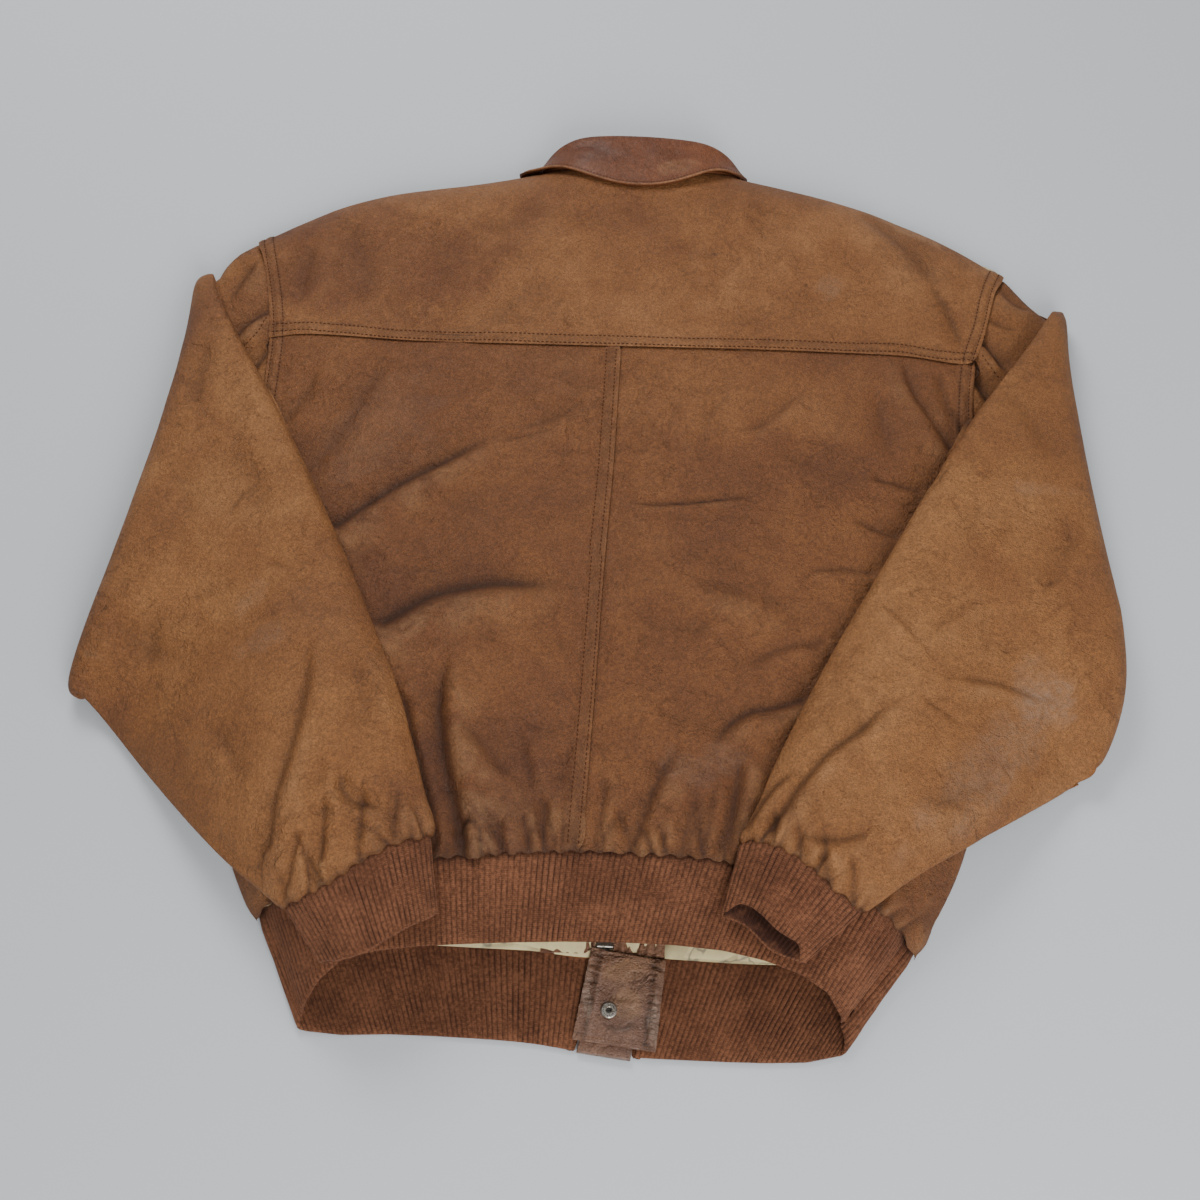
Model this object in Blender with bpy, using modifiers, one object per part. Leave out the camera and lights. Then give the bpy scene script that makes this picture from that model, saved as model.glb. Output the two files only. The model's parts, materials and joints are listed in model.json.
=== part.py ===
"""Leather bomber jacket with knitted cuffs and waistband, laid face down.

The fronts lie flat on the surface, the back is domed over them, and both sleeves are
folded over the back. Blender 4.5, metres, +Z up. +Y points to the collar, and +X to
the wearer's right. The tables and sizes are in millimetres.
"""

import math
from collections import namedtuple

import bmesh
import bpy
import numpy as np
from mathutils import Vector

MM = 0.001

# Cloth thicknesses and clearances.
LEATHER = 2.8  # garment leather with its lining
COLLAR_LEATHER = 2.4
LINING = 1.0
FACING = 1.4
KNIT = 3.5  # rib knit, folded double
SEAM = 0.3  # between two pieces that are sewn together
LAYER_GAP = 4.0  # air between a folded sleeve and what it lies on

# Fullness of the body, measured at the middle of the back.
BODY_HEIGHT = 50.0
EDGE_HEIGHT = 2.0 * LEATHER + SEAM  # front and back together at a side seam
ROLL_POWER = 0.75  # how squarely the back rolls down to its seams
COLLAR_LIFT = 3.0  # the upper fronts lie on the collar's front points
LIFT_FROM, LIFT_TO = 150.0, 190.0  # where the fronts rise from the surface to that height

# How finely the cloth is divided.
BACK_ROWS, BACK_COLUMNS = 12, 10
SHOULDER_COLUMNS, YOKE_ROWS = 7, 7
NECK_COLUMNS = 6  # of a front, from the neck's corner to the zip
SIDE_COLUMNS = 5  # of a front, from the side seam to the neck's corner
BAND_ROWS = (0.33, 0.67, 1.0)  # shares of a band's depth, after its seam
LINING_ROWS = 7

Plan = namedtuple("Plan", "x y")
Share = namedtuple("Share", "at part")
Side = namedtuple("Side", "name sign shoulder sleeve_top fold armhole armpit side_seam hem "
                          "forearm_top forearm_under cuff_seam cuff_edge band_turn")

# Height of the dome as a part of BODY_HEIGHT: along X from the middle, and along Y.
DOME_ACROSS = [Share(0, 1.0), Share(120, 0.98), Share(215, 0.88), Share(280, 0.70),
               Share(330, 0.52), Share(380, 0.44)]
DOME_ALONG = [Share(-380, 0.90), Share(-300, 0.94), Share(-180, 1.0), Share(100, 0.96),
              Share(250, 0.86), Share(390, 0.80)]
MIDDLE = 4.0
ORIGIN = Plan(0, 5)  # point of the tables that becomes the origin, amid the footprint

# The outline of each half, in plan, as it lies.
LEFT = Side(
    name="left",
    sign=-1,
    shoulder=[Plan(-76, 385), Plan(-96, 383), Plan(-143, 368), Plan(-200, 359),
              Plan(-252, 339), Plan(-312, 300)],
    sleeve_top=[Plan(-312, 300), Plan(-335, 283), Plan(-354, 258)],
    fold=[Plan(-366, 257), Plan(-362, 222), Plan(-361, 184), Plan(-367, 99),
          Plan(-381, -5), Plan(-395, -92), Plan(-407, -141)],
    armhole=[Plan(-312, 300), Plan(-293, 229), Plan(-285, 184), Plan(-283, 134),
             Plan(-281, 20), Plan(-280, -75)],
    armpit=Plan(-280, -75),
    side_seam=[Plan(-280, -75), Plan(-276, -150), Plan(-272, -220), Plan(-266, -258),
               Plan(-236, -303)],
    hem=Plan(-198, -378),
    forearm_top=[Plan(-354, 256), Plan(-350, 233), Plan(-339, 220), Plan(-329, 206),
                 Plan(-319, 189), Plan(-280, 126), Plan(-239, 50), Plan(-197, -31),
                 Plan(-158, -114), Plan(-134, -169), Plan(-115, -230), Plan(-110, -252)],
    forearm_under=[Plan(-395, -138), Plan(-374, -157), Plan(-327, -207), Plan(-283, -251),
                   Plan(-249, -281), Plan(-212, -305)],
    cuff_seam=[Plan(-110, -252), Plan(-138, -265), Plan(-163, -281), Plan(-188, -299),
               Plan(-212, -305)],
    cuff_edge=[Plan(-100, -311), Plan(-135, -332), Plan(-152, -343), Plan(-178, -350)],
    band_turn=5.0,
)
RIGHT = Side(
    name="right",
    sign=1,
    shoulder=[Plan(100, 388), Plan(121, 382), Plan(171, 371), Plan(224, 352),
              Plan(276, 326), Plan(323, 293)],
    sleeve_top=[Plan(323, 293), Plan(341, 270), Plan(356, 254), Plan(367, 250)],
    fold=[Plan(379, 250), Plan(374, 214), Plan(374, 188), Plan(378, 109),
          Plan(388, 6), Plan(398, -75), Plan(397, -105), Plan(386, -128), Plan(379, -160)],
    armhole=[Plan(323, 293), Plan(311, 259), Plan(302, 221), Plan(291, 185),
             Plan(286, 151), Plan(284, 110), Plan(285, 20), Plan(288, -75)],
    armpit=Plan(288, -75),
    side_seam=[Plan(288, -75), Plan(284, -150), Plan(278, -210), Plan(268, -240),
               Plan(245, -290), Plan(232, -310)],
    hem=Plan(184, -374),
    forearm_top=[Plan(367, 250), Plan(361, 238), Plan(355, 228), Plan(348, 218),
                 Plan(338, 201), Plan(310, 161), Plan(271, 97),
                 Plan(229, 18), Plan(197, -46), Plan(168, -98), Plan(139, -163),
                 Plan(117, -211), Plan(104, -245)],
    forearm_under=[Plan(370, -162), Plan(355, -177), Plan(335, -191), Plan(294, -220),
                   Plan(257, -245), Plan(225, -268), Plan(191, -293)],
    cuff_seam=[Plan(104, -245), Plan(127, -252), Plan(151, -265), Plan(171, -282),
               Plan(191, -293)],
    cuff_edge=[Plan(88, -299), Plan(108, -306), Plan(128, -323), Plan(155, -332)],
    band_turn=7.0,
)

# Seams across the back, from left to right.
YOKE_SEAM = [Plan(-285, 184), Plan(-259, 187), Plan(-235, 184), Plan(-162, 177),
             Plan(-80, 177), Plan(0, 178), Plan(148, 182), Plan(214, 184),
             Plan(249, 186), Plan(275, 182), Plan(291, 185)]
CENTRE_BACK = [Plan(-9, -256), Plan(-6, -146), Plan(-4, -30), Plan(-1, 60), Plan(0, 178)]
BACK_WAIST = [Plan(-236, -303), Plan(-195, -281), Plan(-111, -266), Plan(-9, -256),
              Plan(101, -258), Plan(180, -276), Plan(215, -292), Plan(232, -310)]
FRONT_WAIST = [Plan(-236, -303), Plan(-185, -316), Plan(-120, -319), Plan(13, -320),
               Plan(120, -322), Plan(190, -318), Plan(232, -310)]
BACK_HEM = [Plan(-198, -378), Plan(-180, -352), Plan(-160, -338), Plan(-110, -329),
            Plan(0, -321), Plan(90, -322), Plan(145, -335), Plan(170, -349),
            Plan(184, -374)]
FRONT_HEM = [Plan(-198, -378), Plan(-182, -383), Plan(-126, -380), Plan(-42, -381),
             Plan(13, -387), Plan(82, -388), Plan(137, -387), Plan(172, -383),
             Plan(184, -374)]

# Neck. The stand runs from the neck seam to the fold, and the fall from the fold to its edge.
BACK_NECK = [Plan(-76, 385), Plan(-45, 371), Plan(13, 364), Plan(71, 371), Plan(100, 388)]
BACK_FOLD = [Plan(-74, 390), Plan(-60, 398), Plan(-40, 404), Plan(14, 406),
             Plan(62, 403), Plan(86, 399), Plan(98, 392)]
BACK_FALL = [Plan(-93, 382), Plan(-80, 380), Plan(-66, 375), Plan(-49, 366),
             Plan(-23, 353), Plan(0, 347), Plan(30, 348), Plan(57, 358), Plan(71, 367),
             Plan(86, 375), Plan(103, 386)]
FRONT_NECK_DEPTH = 82.0
STAND_FRONT = 16.0
NECK_CLEAR = 1.0  # from the neck seam to the collar's stand
LEFT_FALL = [Plan(-93, 382), Plan(-108, 340), Plan(-103, 298), Plan(-86, 262), Plan(-60, 238)]
RIGHT_FALL = [Plan(103, 386), Plan(131, 340), Plan(128, 298), Plan(111, 262), Plan(86, 238)]
FALL_REST = 1.6  # air between the fall and the yoke under it
END_LIFT = 5.0  # more air under the fall's edge near its ends

# Front closure: the zip's middle line, and the tabs that fasten the waistband.
ZIP_X = 13.0
CHAIN_HALF, CHAIN_LOW = 2.9, 0.6
FRONT_EDGE = 4.5  # from the middle line to each front's edge
TAPE_HALF, TAPE = 12.0, 0.8
ZIP_FOOT, ZIP_TOP = -304.5, 278.0
BOX_WIDTH, BOX_LENGTH, BOX_HEIGHT = 12.5, 9.5, 3.6
SLIDER_WIDTH, SLIDER_LENGTH, SLIDER_HEIGHT = 8.2, 12.0, 4.4
FACING_INNER = 6.9
FACING_EDGES = {"left": -32.0, "right": 55.0}
LINING_DEPTH = 150.0
LINING_CLEAR = 16.0  # from the side seam, inside the hollow
LINING_SIDE_RISE = 22.0  # of the lining's foot at its side, above its foot at the zip
INNER_TAB = [Plan(-6, -380), Plan(51, -386), Plan(56, -322), Plan(4, -315)]
OUTER_TAB = [Plan(-3, -388), Plan(34, -392), Plan(44, -323), Plan(8, -322)]
TAB_THICK = 2.4
TAB_GAP = 1.0  # from the knit to the edge of the outer tab
TAB_COLUMN_GAP = 12.0  # least distance of the waistband's columns from that edge
BAND_SEAM_SHARE = 0.012  # of the waistband's depth, left free at its seam
SNAP_AT = Plan(18, -359)
SNAP_RADIUS, SNAP_HOLE, SNAP_HEIGHT = 5.6, 1.9, 1.4
CAP_RADIUS, CAP_HEIGHT = 7.0, 1.3

# Sleeves.
FOLD_INNER = LAYER_GAP / 2.0
EDGE_ROLL = 5.0  # radius of the sleeve's soft edges at the fold
FOREARM_HEIGHT = 24.0
CUFF_HEIGHT = 20.0
CUFF_SEAM_SHARE = 0.01  # of a cuff's depth, left free at its seam
TUBE_REACH = 36.0  # from a flattened tube's edge to its full height
FOLD_PROBE = 20.0  # inward of the fold, where the upper arm's height is taken
TURN_ANGLES = (30, -30)  # of the points between the faces, round a soft edge
FOLD_STEPS = 6
UPPER_ROWS = 3
FOREARM_ROWS = 9

Colour = namedtuple("Colour", "name rgb roughness metallic")
TAN = Colour("sleeve_leather", (0.30, 0.13, 0.045), 0.55, 0.0)
BROWN = Colour("body_leather", (0.20, 0.075, 0.032), 0.55, 0.0)
RUSSET = Colour("collar_leather", (0.19, 0.06, 0.03), 0.45, 0.0)
TAB = Colour("tab_leather", (0.12, 0.042, 0.02), 0.35, 0.0)
RIB = Colour("rib_knit", (0.14, 0.048, 0.025), 0.9, 0.0)
CREAM = Colour("lining_twill", (0.60, 0.55, 0.38), 0.7, 0.0)
STEEL = Colour("steel", (0.45, 0.43, 0.40), 0.35, 1.0)
TAPE_CLOTH = Colour("zip_tape", (0.09, 0.045, 0.025), 0.85, 0.0)


# ---------------------------------------------------------------- curves and patches


def as_points(table):
    """Turns a table of plan points into an array."""
    return np.array([tuple(row) for row in table], float)


def dense_curve(table, steps=8):
    """Returns points on a smooth curve through a table's points, with a steps count a span."""
    points = as_points(table)
    padded = np.vstack([2 * points[0] - points[1], points, 2 * points[-1] - points[-2]])
    out = []
    for i in range(len(points) - 1):
        a, b, c, d = padded[i:i + 4]
        for t in np.linspace(0, 1, steps, endpoint=False):
            out.append(0.5 * (2 * b + (c - a) * t + (2 * a - 5 * b + 4 * c - d) * t ** 2
                              + (3 * b - a - 3 * c + d) * t ** 3))
    out.append(points[-1])
    return np.array(out)


def at_length(curve, share):
    """Returns the point at a share, 0 to 1, of a dense curve's length."""
    lengths = np.linalg.norm(np.diff(curve, axis=0), axis=1)
    along = np.concatenate([[0.0], np.cumsum(lengths)])
    where = np.clip(share, 0, 1) * along[-1]
    return np.array([np.interp(where, along, curve[:, k]) for k in range(curve.shape[1])])


def joined(*curves):
    """Runs several curves into one."""
    return np.vstack([c if i == 0 else c[1:] for i, c in enumerate(curves)])


def patch(bottom, top, left, right, across, along, top_across=None):
    """Fills four boundary curves; across and along are the shares of its columns and rows.

    top_across holds the columns' shares of the top curve, when they differ.
    """
    top_across = across if top_across is None else top_across
    corners = bottom[0], bottom[-1], top[0], top[-1]
    rows = []
    for v in along:
        row = []
        for low_u, top_u in zip(across, top_across):
            u = (1 - v) * low_u + v * top_u
            ruled = (1 - v) * at_length(bottom, low_u) + v * at_length(top, top_u)
            ruled += (1 - u) * at_length(left, v) + u * at_length(right, v)
            ruled -= (1 - u) * (1 - v) * corners[0] + u * (1 - v) * corners[1]
            ruled -= (1 - u) * v * corners[2] + u * v * corners[3]
            row.append(ruled)
        rows.append(row)
    return np.array(rows)


def inset(grid, gap=SEAM / 2):
    """Draws a patch's four borders in, so that its neighbours stay a seam away."""
    out = grid.copy()
    for line, inner in ((0, 1), (-1, -2)):
        step = grid[inner] - grid[line]
        out[line] += gap * step / np.linalg.norm(step, axis=-1, keepdims=True)
    for line, inner in ((0, 1), (-1, -2)):
        step = grid[:, inner] - grid[:, line]
        out[:, line] += gap * step / np.linalg.norm(step, axis=-1, keepdims=True)
    return out


def eased(count, ease_start=True, ease_end=True):
    """Shares from 0 to 1, closer together at the eased ends."""
    t = np.linspace(0, 1, count)
    if ease_start and ease_end:
        return 0.5 - 0.5 * np.cos(math.pi * t)
    if ease_start:
        return t ** 1.7
    return 1 - (1 - t) ** 1.7 if ease_end else t


def smoothstep(value):
    """Goes smoothly from 0 to 1 as value does."""
    t = min(max(value, 0.0), 1.0)
    return t * t * (3 - 2 * t)


# ---------------------------------------------------------------- the heap's heights


def seam_chains():
    """The seams where the back comes down to the front: the back rolls down towards them."""
    chains = []
    for side in (LEFT, RIGHT):
        chains.append(joined(dense_curve(side.shoulder), dense_curve(side.sleeve_top)))
        elbow = as_points([side.forearm_under[0], side.armpit])
        hem = as_points([side.side_seam[-1], side.hem])
        chains.append(joined(elbow, dense_curve(side.side_seam), hem))
    return chains


CHAINS = seam_chains()


def distance_to(curve, x, y):
    """Shortest distance in plan from a point to a curve."""
    start, end = curve[:-1], curve[1:]
    run = end - start
    offset = np.array([x, y]) - start
    t = np.clip((offset * run).sum(1) / (run * run).sum(1), 0, 1)
    return float(np.linalg.norm(offset - run * t[:, None], axis=1).min())


def torso_outside(x, y):
    """How far a point lies outside the torso's side, negative inside it."""
    side = LEFT if x < MIDDLE else RIGHT
    line = joined(dense_curve(side.armhole), dense_curve(side.side_seam))
    line = np.vstack([line, as_points([side.hem])])
    order = np.argsort(line[:, 1])
    edge = np.interp(y, line[order, 1], line[order, 0])
    return side.sign * (x - edge)


def front_base(x, y):
    """Height of the fronts' lower face. Like every height function, it takes a plan point."""
    return COLLAR_LIFT * min(max((y - LIFT_FROM) / (LIFT_TO - LIFT_FROM), 0.0), 1.0)


def dome_height(x, y):
    """Height that the back reaches away from its seams."""
    across = np.interp(abs(x - MIDDLE), [s.at for s in DOME_ACROSS], [s.part for s in DOME_ACROSS])
    along = np.interp(y, [s.at for s in DOME_ALONG], [s.part for s in DOME_ALONG])
    return BODY_HEIGHT * across * along


def back_height(x, y):
    """Height of the upper face of the back and of the sleeves' upper arms."""
    top = dome_height(x, y)
    edge = front_base(x, y + LIFT_TO - LIFT_FROM) + EDGE_HEIGHT
    reach = 1.1 * top + 5.0
    near = min(distance_to(chain, x, y) for chain in CHAINS)
    roll = math.sin(0.5 * math.pi * min(near / reach, 1.0)) ** ROLL_POWER
    return edge + (top - edge) * roll


def back_wall_depth(x, y):
    """Upright depth of the back's wall, more where it slopes."""
    step = 2.0
    slope_x = (back_height(x + step, y) - back_height(x - step, y)) / (2 * step)
    slope_y = (back_height(x, y + step) - back_height(x, y - step)) / (2 * step)
    return LEATHER * min(math.sqrt(1 + slope_x ** 2 + slope_y ** 2), 2.2)


def support_height(x, y):
    """Height of what a folded sleeve lies on, down to the floor beside the body."""
    outside = torso_outside(x, y)
    beyond_arm = 0.0
    side = LEFT if x < MIDDLE else RIGHT
    elbow, armpit = as_points([side.forearm_under[0], side.armpit])
    if outside > 0:
        span = (x - armpit[0]) / (elbow[0] - armpit[0])
        under_edge = armpit[1] + span * (elbow[1] - armpit[1])
        beyond_arm = max(0.0, under_edge - y)
    if outside > 0 and beyond_arm > 0:
        lower = max(-LAYER_GAP + 0.6, EDGE_HEIGHT - 0.3 * min(beyond_arm, outside))
    else:
        lower = back_height(x, y)
    top = dome_height(MIDDLE + side.sign * 215, y)
    drape = top * (1 - (outside + 45.0) / 105.0)
    return max(lower, min(drape, top))


# ---------------------------------------------------------------- building solids


def clear_scene():
    """Removes what the scene holds."""
    for thing in list(bpy.data.objects):
        bpy.data.objects.remove(thing, do_unlink=True)


def new_collection(name):
    """Adds a collection to the scene."""
    group = bpy.data.collections.new(name)
    bpy.context.scene.collection.children.link(group)
    return group


def material(name, colour):
    """Makes a plain Principled material."""
    made = bpy.data.materials.new(name)
    made.use_nodes = True
    shader = made.node_tree.nodes["Principled BSDF"]
    shader.inputs["Base Color"].default_value = (*colour.rgb, 1.0)
    shader.inputs["Roughness"].default_value = colour.roughness
    shader.inputs["Metallic"].default_value = colour.metallic
    return made


def finish_object(name, mesh, colour):
    """Links a mesh to the jacket as a named object with its own material."""
    made = bpy.data.objects.new(name, mesh)
    bpy.data.collections["leather_jacket"].objects.link(made)
    mesh.materials.append(material(f"{name}_{colour.name}", colour))
    mesh.shade_smooth()
    mesh.set_sharp_from_angle(angle=math.radians(45))
    return made


def placed(point):
    """Turns a point of the tables, in millimetres, into one of the part, in metres."""
    return (Vector(point) - Vector((*ORIGIN, 0.0))) * MM


def cloth_wall(name, outer, inner, colour, tube=False):
    """Lofts a wall between two grids of points, rows by columns, in millimetres.

    A tube's columns run round and meet; another wall is closed along all four borders.
    """
    rows, columns = outer.shape[:2]
    work = bmesh.new()
    faces = []
    for grid in (outer, inner):
        faces.append([[work.verts.new(placed(p)) for p in row] for row in grid])
    spans = columns if tube else columns - 1
    for r in range(rows - 1):
        for c in range(spans):
            n = (c + 1) % columns
            around = [(r, c), (r, n), (r + 1, n), (r + 1, c)]
            first = np.linalg.norm(outer[r, c] - outer[r + 1, n])
            second = np.linalg.norm(outer[r, n] - outer[r + 1, c])
            halves = ((0, 1, 2), (0, 2, 3)) if first < second else ((1, 2, 3), (1, 3, 0))
            for half in halves:
                work.faces.new([faces[0][around[k][0]][around[k][1]] for k in half])
                work.faces.new([faces[1][around[k][0]][around[k][1]] for k in half[::-1]])
    out, back = faces
    for c in range(spans):
        n = (c + 1) % columns
        work.faces.new([out[0][n], out[0][c], back[0][c], back[0][n]])
        work.faces.new([out[-1][c], out[-1][n], back[-1][n], back[-1][c]])
    if not tube:
        for r in range(rows - 1):
            work.faces.new([out[r][0], out[r + 1][0], back[r + 1][0], back[r][0]])
            work.faces.new([out[r + 1][-1], out[r][-1], back[r][-1], back[r + 1][-1]])
    bmesh.ops.recalc_face_normals(work, faces=work.faces)
    if work.calc_volume(signed=True) < 0:
        bmesh.ops.reverse_faces(work, faces=work.faces)
    mesh = bpy.data.meshes.new(name)
    work.to_mesh(mesh)
    work.free()
    return finish_object(name, mesh, colour)


def raised(grid, height):
    """Gives a plan grid its heights."""
    return np.array([[(x, y, height(x, y)) for x, y in row] for row in grid])


def sheet_between(name, grid, lower, upper, colour):
    """Makes a sheet whose faces are two height functions over a plan grid."""
    return cloth_wall(name, raised(grid, upper), raised(grid, lower), colour)


# ---------------------------------------------------------------- body


BACK_ACROSS = eased(BACK_COLUMNS, True, False)  # columns of half a back, from its side seam


def back_inner(x, y):
    """Height of the back's inner face."""
    floor = front_base(x, y) + LEATHER + SEAM
    return max(back_height(x, y) - back_wall_depth(x, y), floor)


def cut_curve(curve, start, end, count=24):
    """Returns the stretch of a curve between two shares of its length."""
    return np.array([at_length(curve, t) for t in np.linspace(start, end, count)])


def share_nearest(curve, point):
    """Share of a curve's length at which it passes a point."""
    shares = np.linspace(0, 1, 401)
    gaps = [np.linalg.norm(at_length(curve, t) - np.array(point)) for t in shares]
    return shares[int(np.argmin(gaps))]


def cut_between(curve, low, high):
    """Returns the stretch of a rising curve between two heights on the plan."""
    inside = curve[(curve[:, 1] > low) & (curve[:, 1] < high)]
    ends = [(np.interp(y, curve[:, 1], curve[:, 0]), y) for y in (low, high)]
    return np.vstack([ends[:1], inside, ends[1:]])


def yoke_half(side):
    """The yoke seam's half, from left to right."""
    seam = dense_curve(YOKE_SEAM)
    middle = share_nearest(seam, CENTRE_BACK[-1])
    return cut_curve(seam, 0, middle) if side is LEFT else cut_curve(seam, middle, 1)


def half_across(side):
    """Shares of the columns of a half of the back, from left to right."""
    return BACK_ACROSS if side is LEFT else 1 - BACK_ACROSS[::-1]


def build_yoke():
    """The yoke: from the yoke seam up to the shoulder seams and the neck."""
    left_hole = dense_curve(LEFT.armhole)
    right_hole = dense_curve(RIGHT.armhole)
    left = cut_curve(left_hole, share_nearest(left_hole, YOKE_SEAM[0]), 0)
    right = cut_curve(right_hole, share_nearest(right_hole, YOKE_SEAM[-1]), 0)
    top = joined(dense_curve(LEFT.shoulder)[::-1], dense_curve(BACK_NECK), dense_curve(RIGHT.shoulder))
    neck_shares = [share_nearest(top, LEFT.shoulder[0]), share_nearest(top, RIGHT.shoulder[0])]
    shoulder_columns = eased(SHOULDER_COLUMNS, True, False)
    top_across = np.concatenate([
        neck_shares[0] * shoulder_columns[:-1],
        np.linspace(neck_shares[0], neck_shares[1], SHOULDER_COLUMNS),
        1 - (1 - neck_shares[1]) * shoulder_columns[::-1][1:],
    ])
    seam = np.array([at_length(yoke_half(side), u) for side in (LEFT, RIGHT) for u in half_across(side)])
    seam = np.delete(seam, len(BACK_ACROSS), axis=0)
    lengths = np.linalg.norm(np.diff(seam, axis=0), axis=1)
    across = np.concatenate([[0.0], np.cumsum(lengths)]) / lengths.sum()
    along = 1 - eased(YOKE_ROWS, True, False)[::-1]
    grid = inset(patch(seam, top, left, right, across, along, top_across))
    sheet_between("back_yoke", grid, back_inner, back_height, BROWN)


def build_back_panel(side):
    """One half of the back below the yoke."""
    hole = dense_curve(side.armhole)
    yoke_end = YOKE_SEAM[0] if side is LEFT else YOKE_SEAM[-1]
    lower_hole = cut_curve(hole, share_nearest(hole, yoke_end), 1)
    outer_edge = joined(lower_hole, dense_curve(side.side_seam))[::-1]
    centre = dense_curve(CENTRE_BACK)
    waist = dense_curve(BACK_WAIST)
    middle = share_nearest(waist, CENTRE_BACK[0])
    along = np.linspace(0, 1, BACK_ROWS)
    if side is LEFT:
        bottom, edges = cut_curve(waist, 0, middle), (outer_edge, centre)
    else:
        bottom, edges = cut_curve(waist, middle, 1), (centre, outer_edge)
    grid = inset(patch(bottom, yoke_half(side), *edges, half_across(side), along))
    sheet_between(f"back_{side.name}", grid, back_inner, back_height, BROWN)


def neck_arc(side, corner, depth, clear=0.0):
    """A front neck curve, from its corner at the shoulder down to the zip."""
    low_x = ZIP_X + side.sign * FRONT_EDGE
    width = side.sign * (corner.x - low_x) - clear
    turns = np.linspace(0, 0.5 * math.pi, 12)
    return np.array([(low_x + side.sign * width * math.cos(t), corner.y - (depth - clear) * math.sin(t))
                     for t in turns])


def front_bottom(side):
    """A front's edge at the waist, from the side seam to the zip."""
    waist = dense_curve(FRONT_WAIST)
    edge_x = ZIP_X + side.sign * FRONT_EDGE
    at_zip = share_nearest(waist, (edge_x, FRONT_WAIST[3].y))
    bottom = cut_curve(waist, 0 if side is LEFT else 1, at_zip)
    bottom[-1, 0] = edge_x
    return bottom


def front_top(side):
    """A front's upper edge, from the armhole to the zip."""
    return joined(dense_curve(side.shoulder)[::-1], neck_arc(side, side.shoulder[0], FRONT_NECK_DEPTH))


def front_across(side):
    """Shares of a front's columns, from the side seam to the zip, one at the neck's corner."""
    corner = share_nearest(front_top(side), side.shoulder[0])
    return np.concatenate([np.linspace(0, corner, SIDE_COLUMNS)[:-1],
                           np.linspace(corner, 1, NECK_COLUMNS)])


def build_front(side):
    """One front, flat on the surface, from the zip to the side seam.

    It is filled in three bands, so that rows run straight where it rises onto the collar.
    """
    outer_edge = joined(dense_curve(side.armhole), dense_curve(side.side_seam))[::-1]
    top, bottom = front_top(side), front_bottom(side)
    centre = np.array([bottom[-1], top[-1]])
    across = front_across(side)
    lines = []
    for y in (LIFT_FROM, LIFT_TO):
        lines.append(np.array([cut_between(outer_edge, y, y)[0], (centre[0, 0], y)]))
    lower = patch(bottom, lines[0], cut_between(outer_edge, outer_edge[0, 1], LIFT_FROM),
                  cut_between(centre, centre[0, 1], LIFT_FROM), across, np.linspace(0, 1, 6))
    upper = patch(lines[1], top, cut_between(outer_edge, LIFT_TO, outer_edge[-1, 1]),
                  cut_between(centre, LIFT_TO, centre[-1, 1]), across, np.linspace(0, 1, 5))
    grid = inset(np.vstack([lower, upper]))
    if side is RIGHT:
        grid = grid[:, ::-1]
    sheet_between(f"front_{side.name}", grid, front_base,
                  lambda x, y: front_base(x, y) + LEATHER, BROWN)


# ---------------------------------------------------------------- waistband


def band_line(seam, hem, share):
    """A line round the waistband, at a share of the way from its seam to its free edge."""
    seam, hem = dense_curve(seam), dense_curve(hem)
    return np.array([at_length(seam, t) * (1 - share) + at_length(hem, t) * share
                     for t in np.linspace(0, 1, 61)])


def band_turn(side, share):
    """Outer and inner points of the waistband where it turns up from front to back."""
    front = band_line(FRONT_WAIST, FRONT_HEM, share)
    back = band_line(BACK_WAIST, BACK_HEM, share)
    pivot = (front[0] if side is LEFT else front[-1])[0] - side.sign * side.band_turn
    outer, inner = [], []
    for angle in np.radians([-90, -50, -18, 18, 50, 90]):
        up = 0.5 + 0.5 * math.sin(angle)
        for radius, points in ((side.band_turn, outer), (side.band_turn - KNIT, inner)):
            x = pivot + side.sign * radius * math.cos(angle)
            low, high = (np.interp(x, line[:, 0], line[:, 1]) for line in (front, back))
            points.append((x, low * (1 - up) + high * up, side.band_turn + radius * math.sin(angle)))
    return outer, inner


def band_front(side, share):
    """Floor points of the waistband's front, from the side turn to the tab."""
    above, below = (OUTER_TAB[3], OUTER_TAB[0]) if side is LEFT else (OUTER_TAB[2], OUTER_TAB[1])
    first_edge = above.x + side.sign * TAB_GAP
    tab_edge = first_edge + (below.x - above.x) * share
    bottom = front_bottom(side)
    xs = [at_length(bottom, t)[0] for t in front_across(side)]
    xs = [x for x in xs if side.sign * (x - first_edge) > TAB_COLUMN_GAP][1:]
    start = side.side_seam[-1].x - side.sign * side.band_turn
    corner = start + (side.hem.x - side.side_seam[-1].x) * share
    squeeze = (corner - tab_edge) / (start - first_edge)
    line = band_line(FRONT_WAIST, FRONT_HEM, share)
    outer, inner = [], []
    for x in [tab_edge + (x - first_edge) * squeeze for x in xs] + [tab_edge]:
        y = np.interp(x, line[:, 0], line[:, 1])
        outer.append((x, y, 0.0))
        inner.append((x, y, KNIT))
    return outer, inner


def band_back(share):
    """Points of the waistband's back, between its two turns."""
    seam, hem = dense_curve(BACK_WAIST), dense_curve(BACK_HEM)
    middle = share_nearest(seam, CENTRE_BACK[0])
    left = middle * BACK_ACROSS[2:]
    right = 1 - (1 - middle) * BACK_ACROSS[2:-1][::-1]
    outer, inner = [], []
    for t in np.concatenate([left, right]):
        plan = at_length(seam, t) * (1 - share) + at_length(hem, t) * share
        high = back_height(*plan)
        outer.append((*plan, high))
        inner.append((*plan, high - back_wall_depth(*plan) * KNIT / LEATHER))
    return outer, inner


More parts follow.
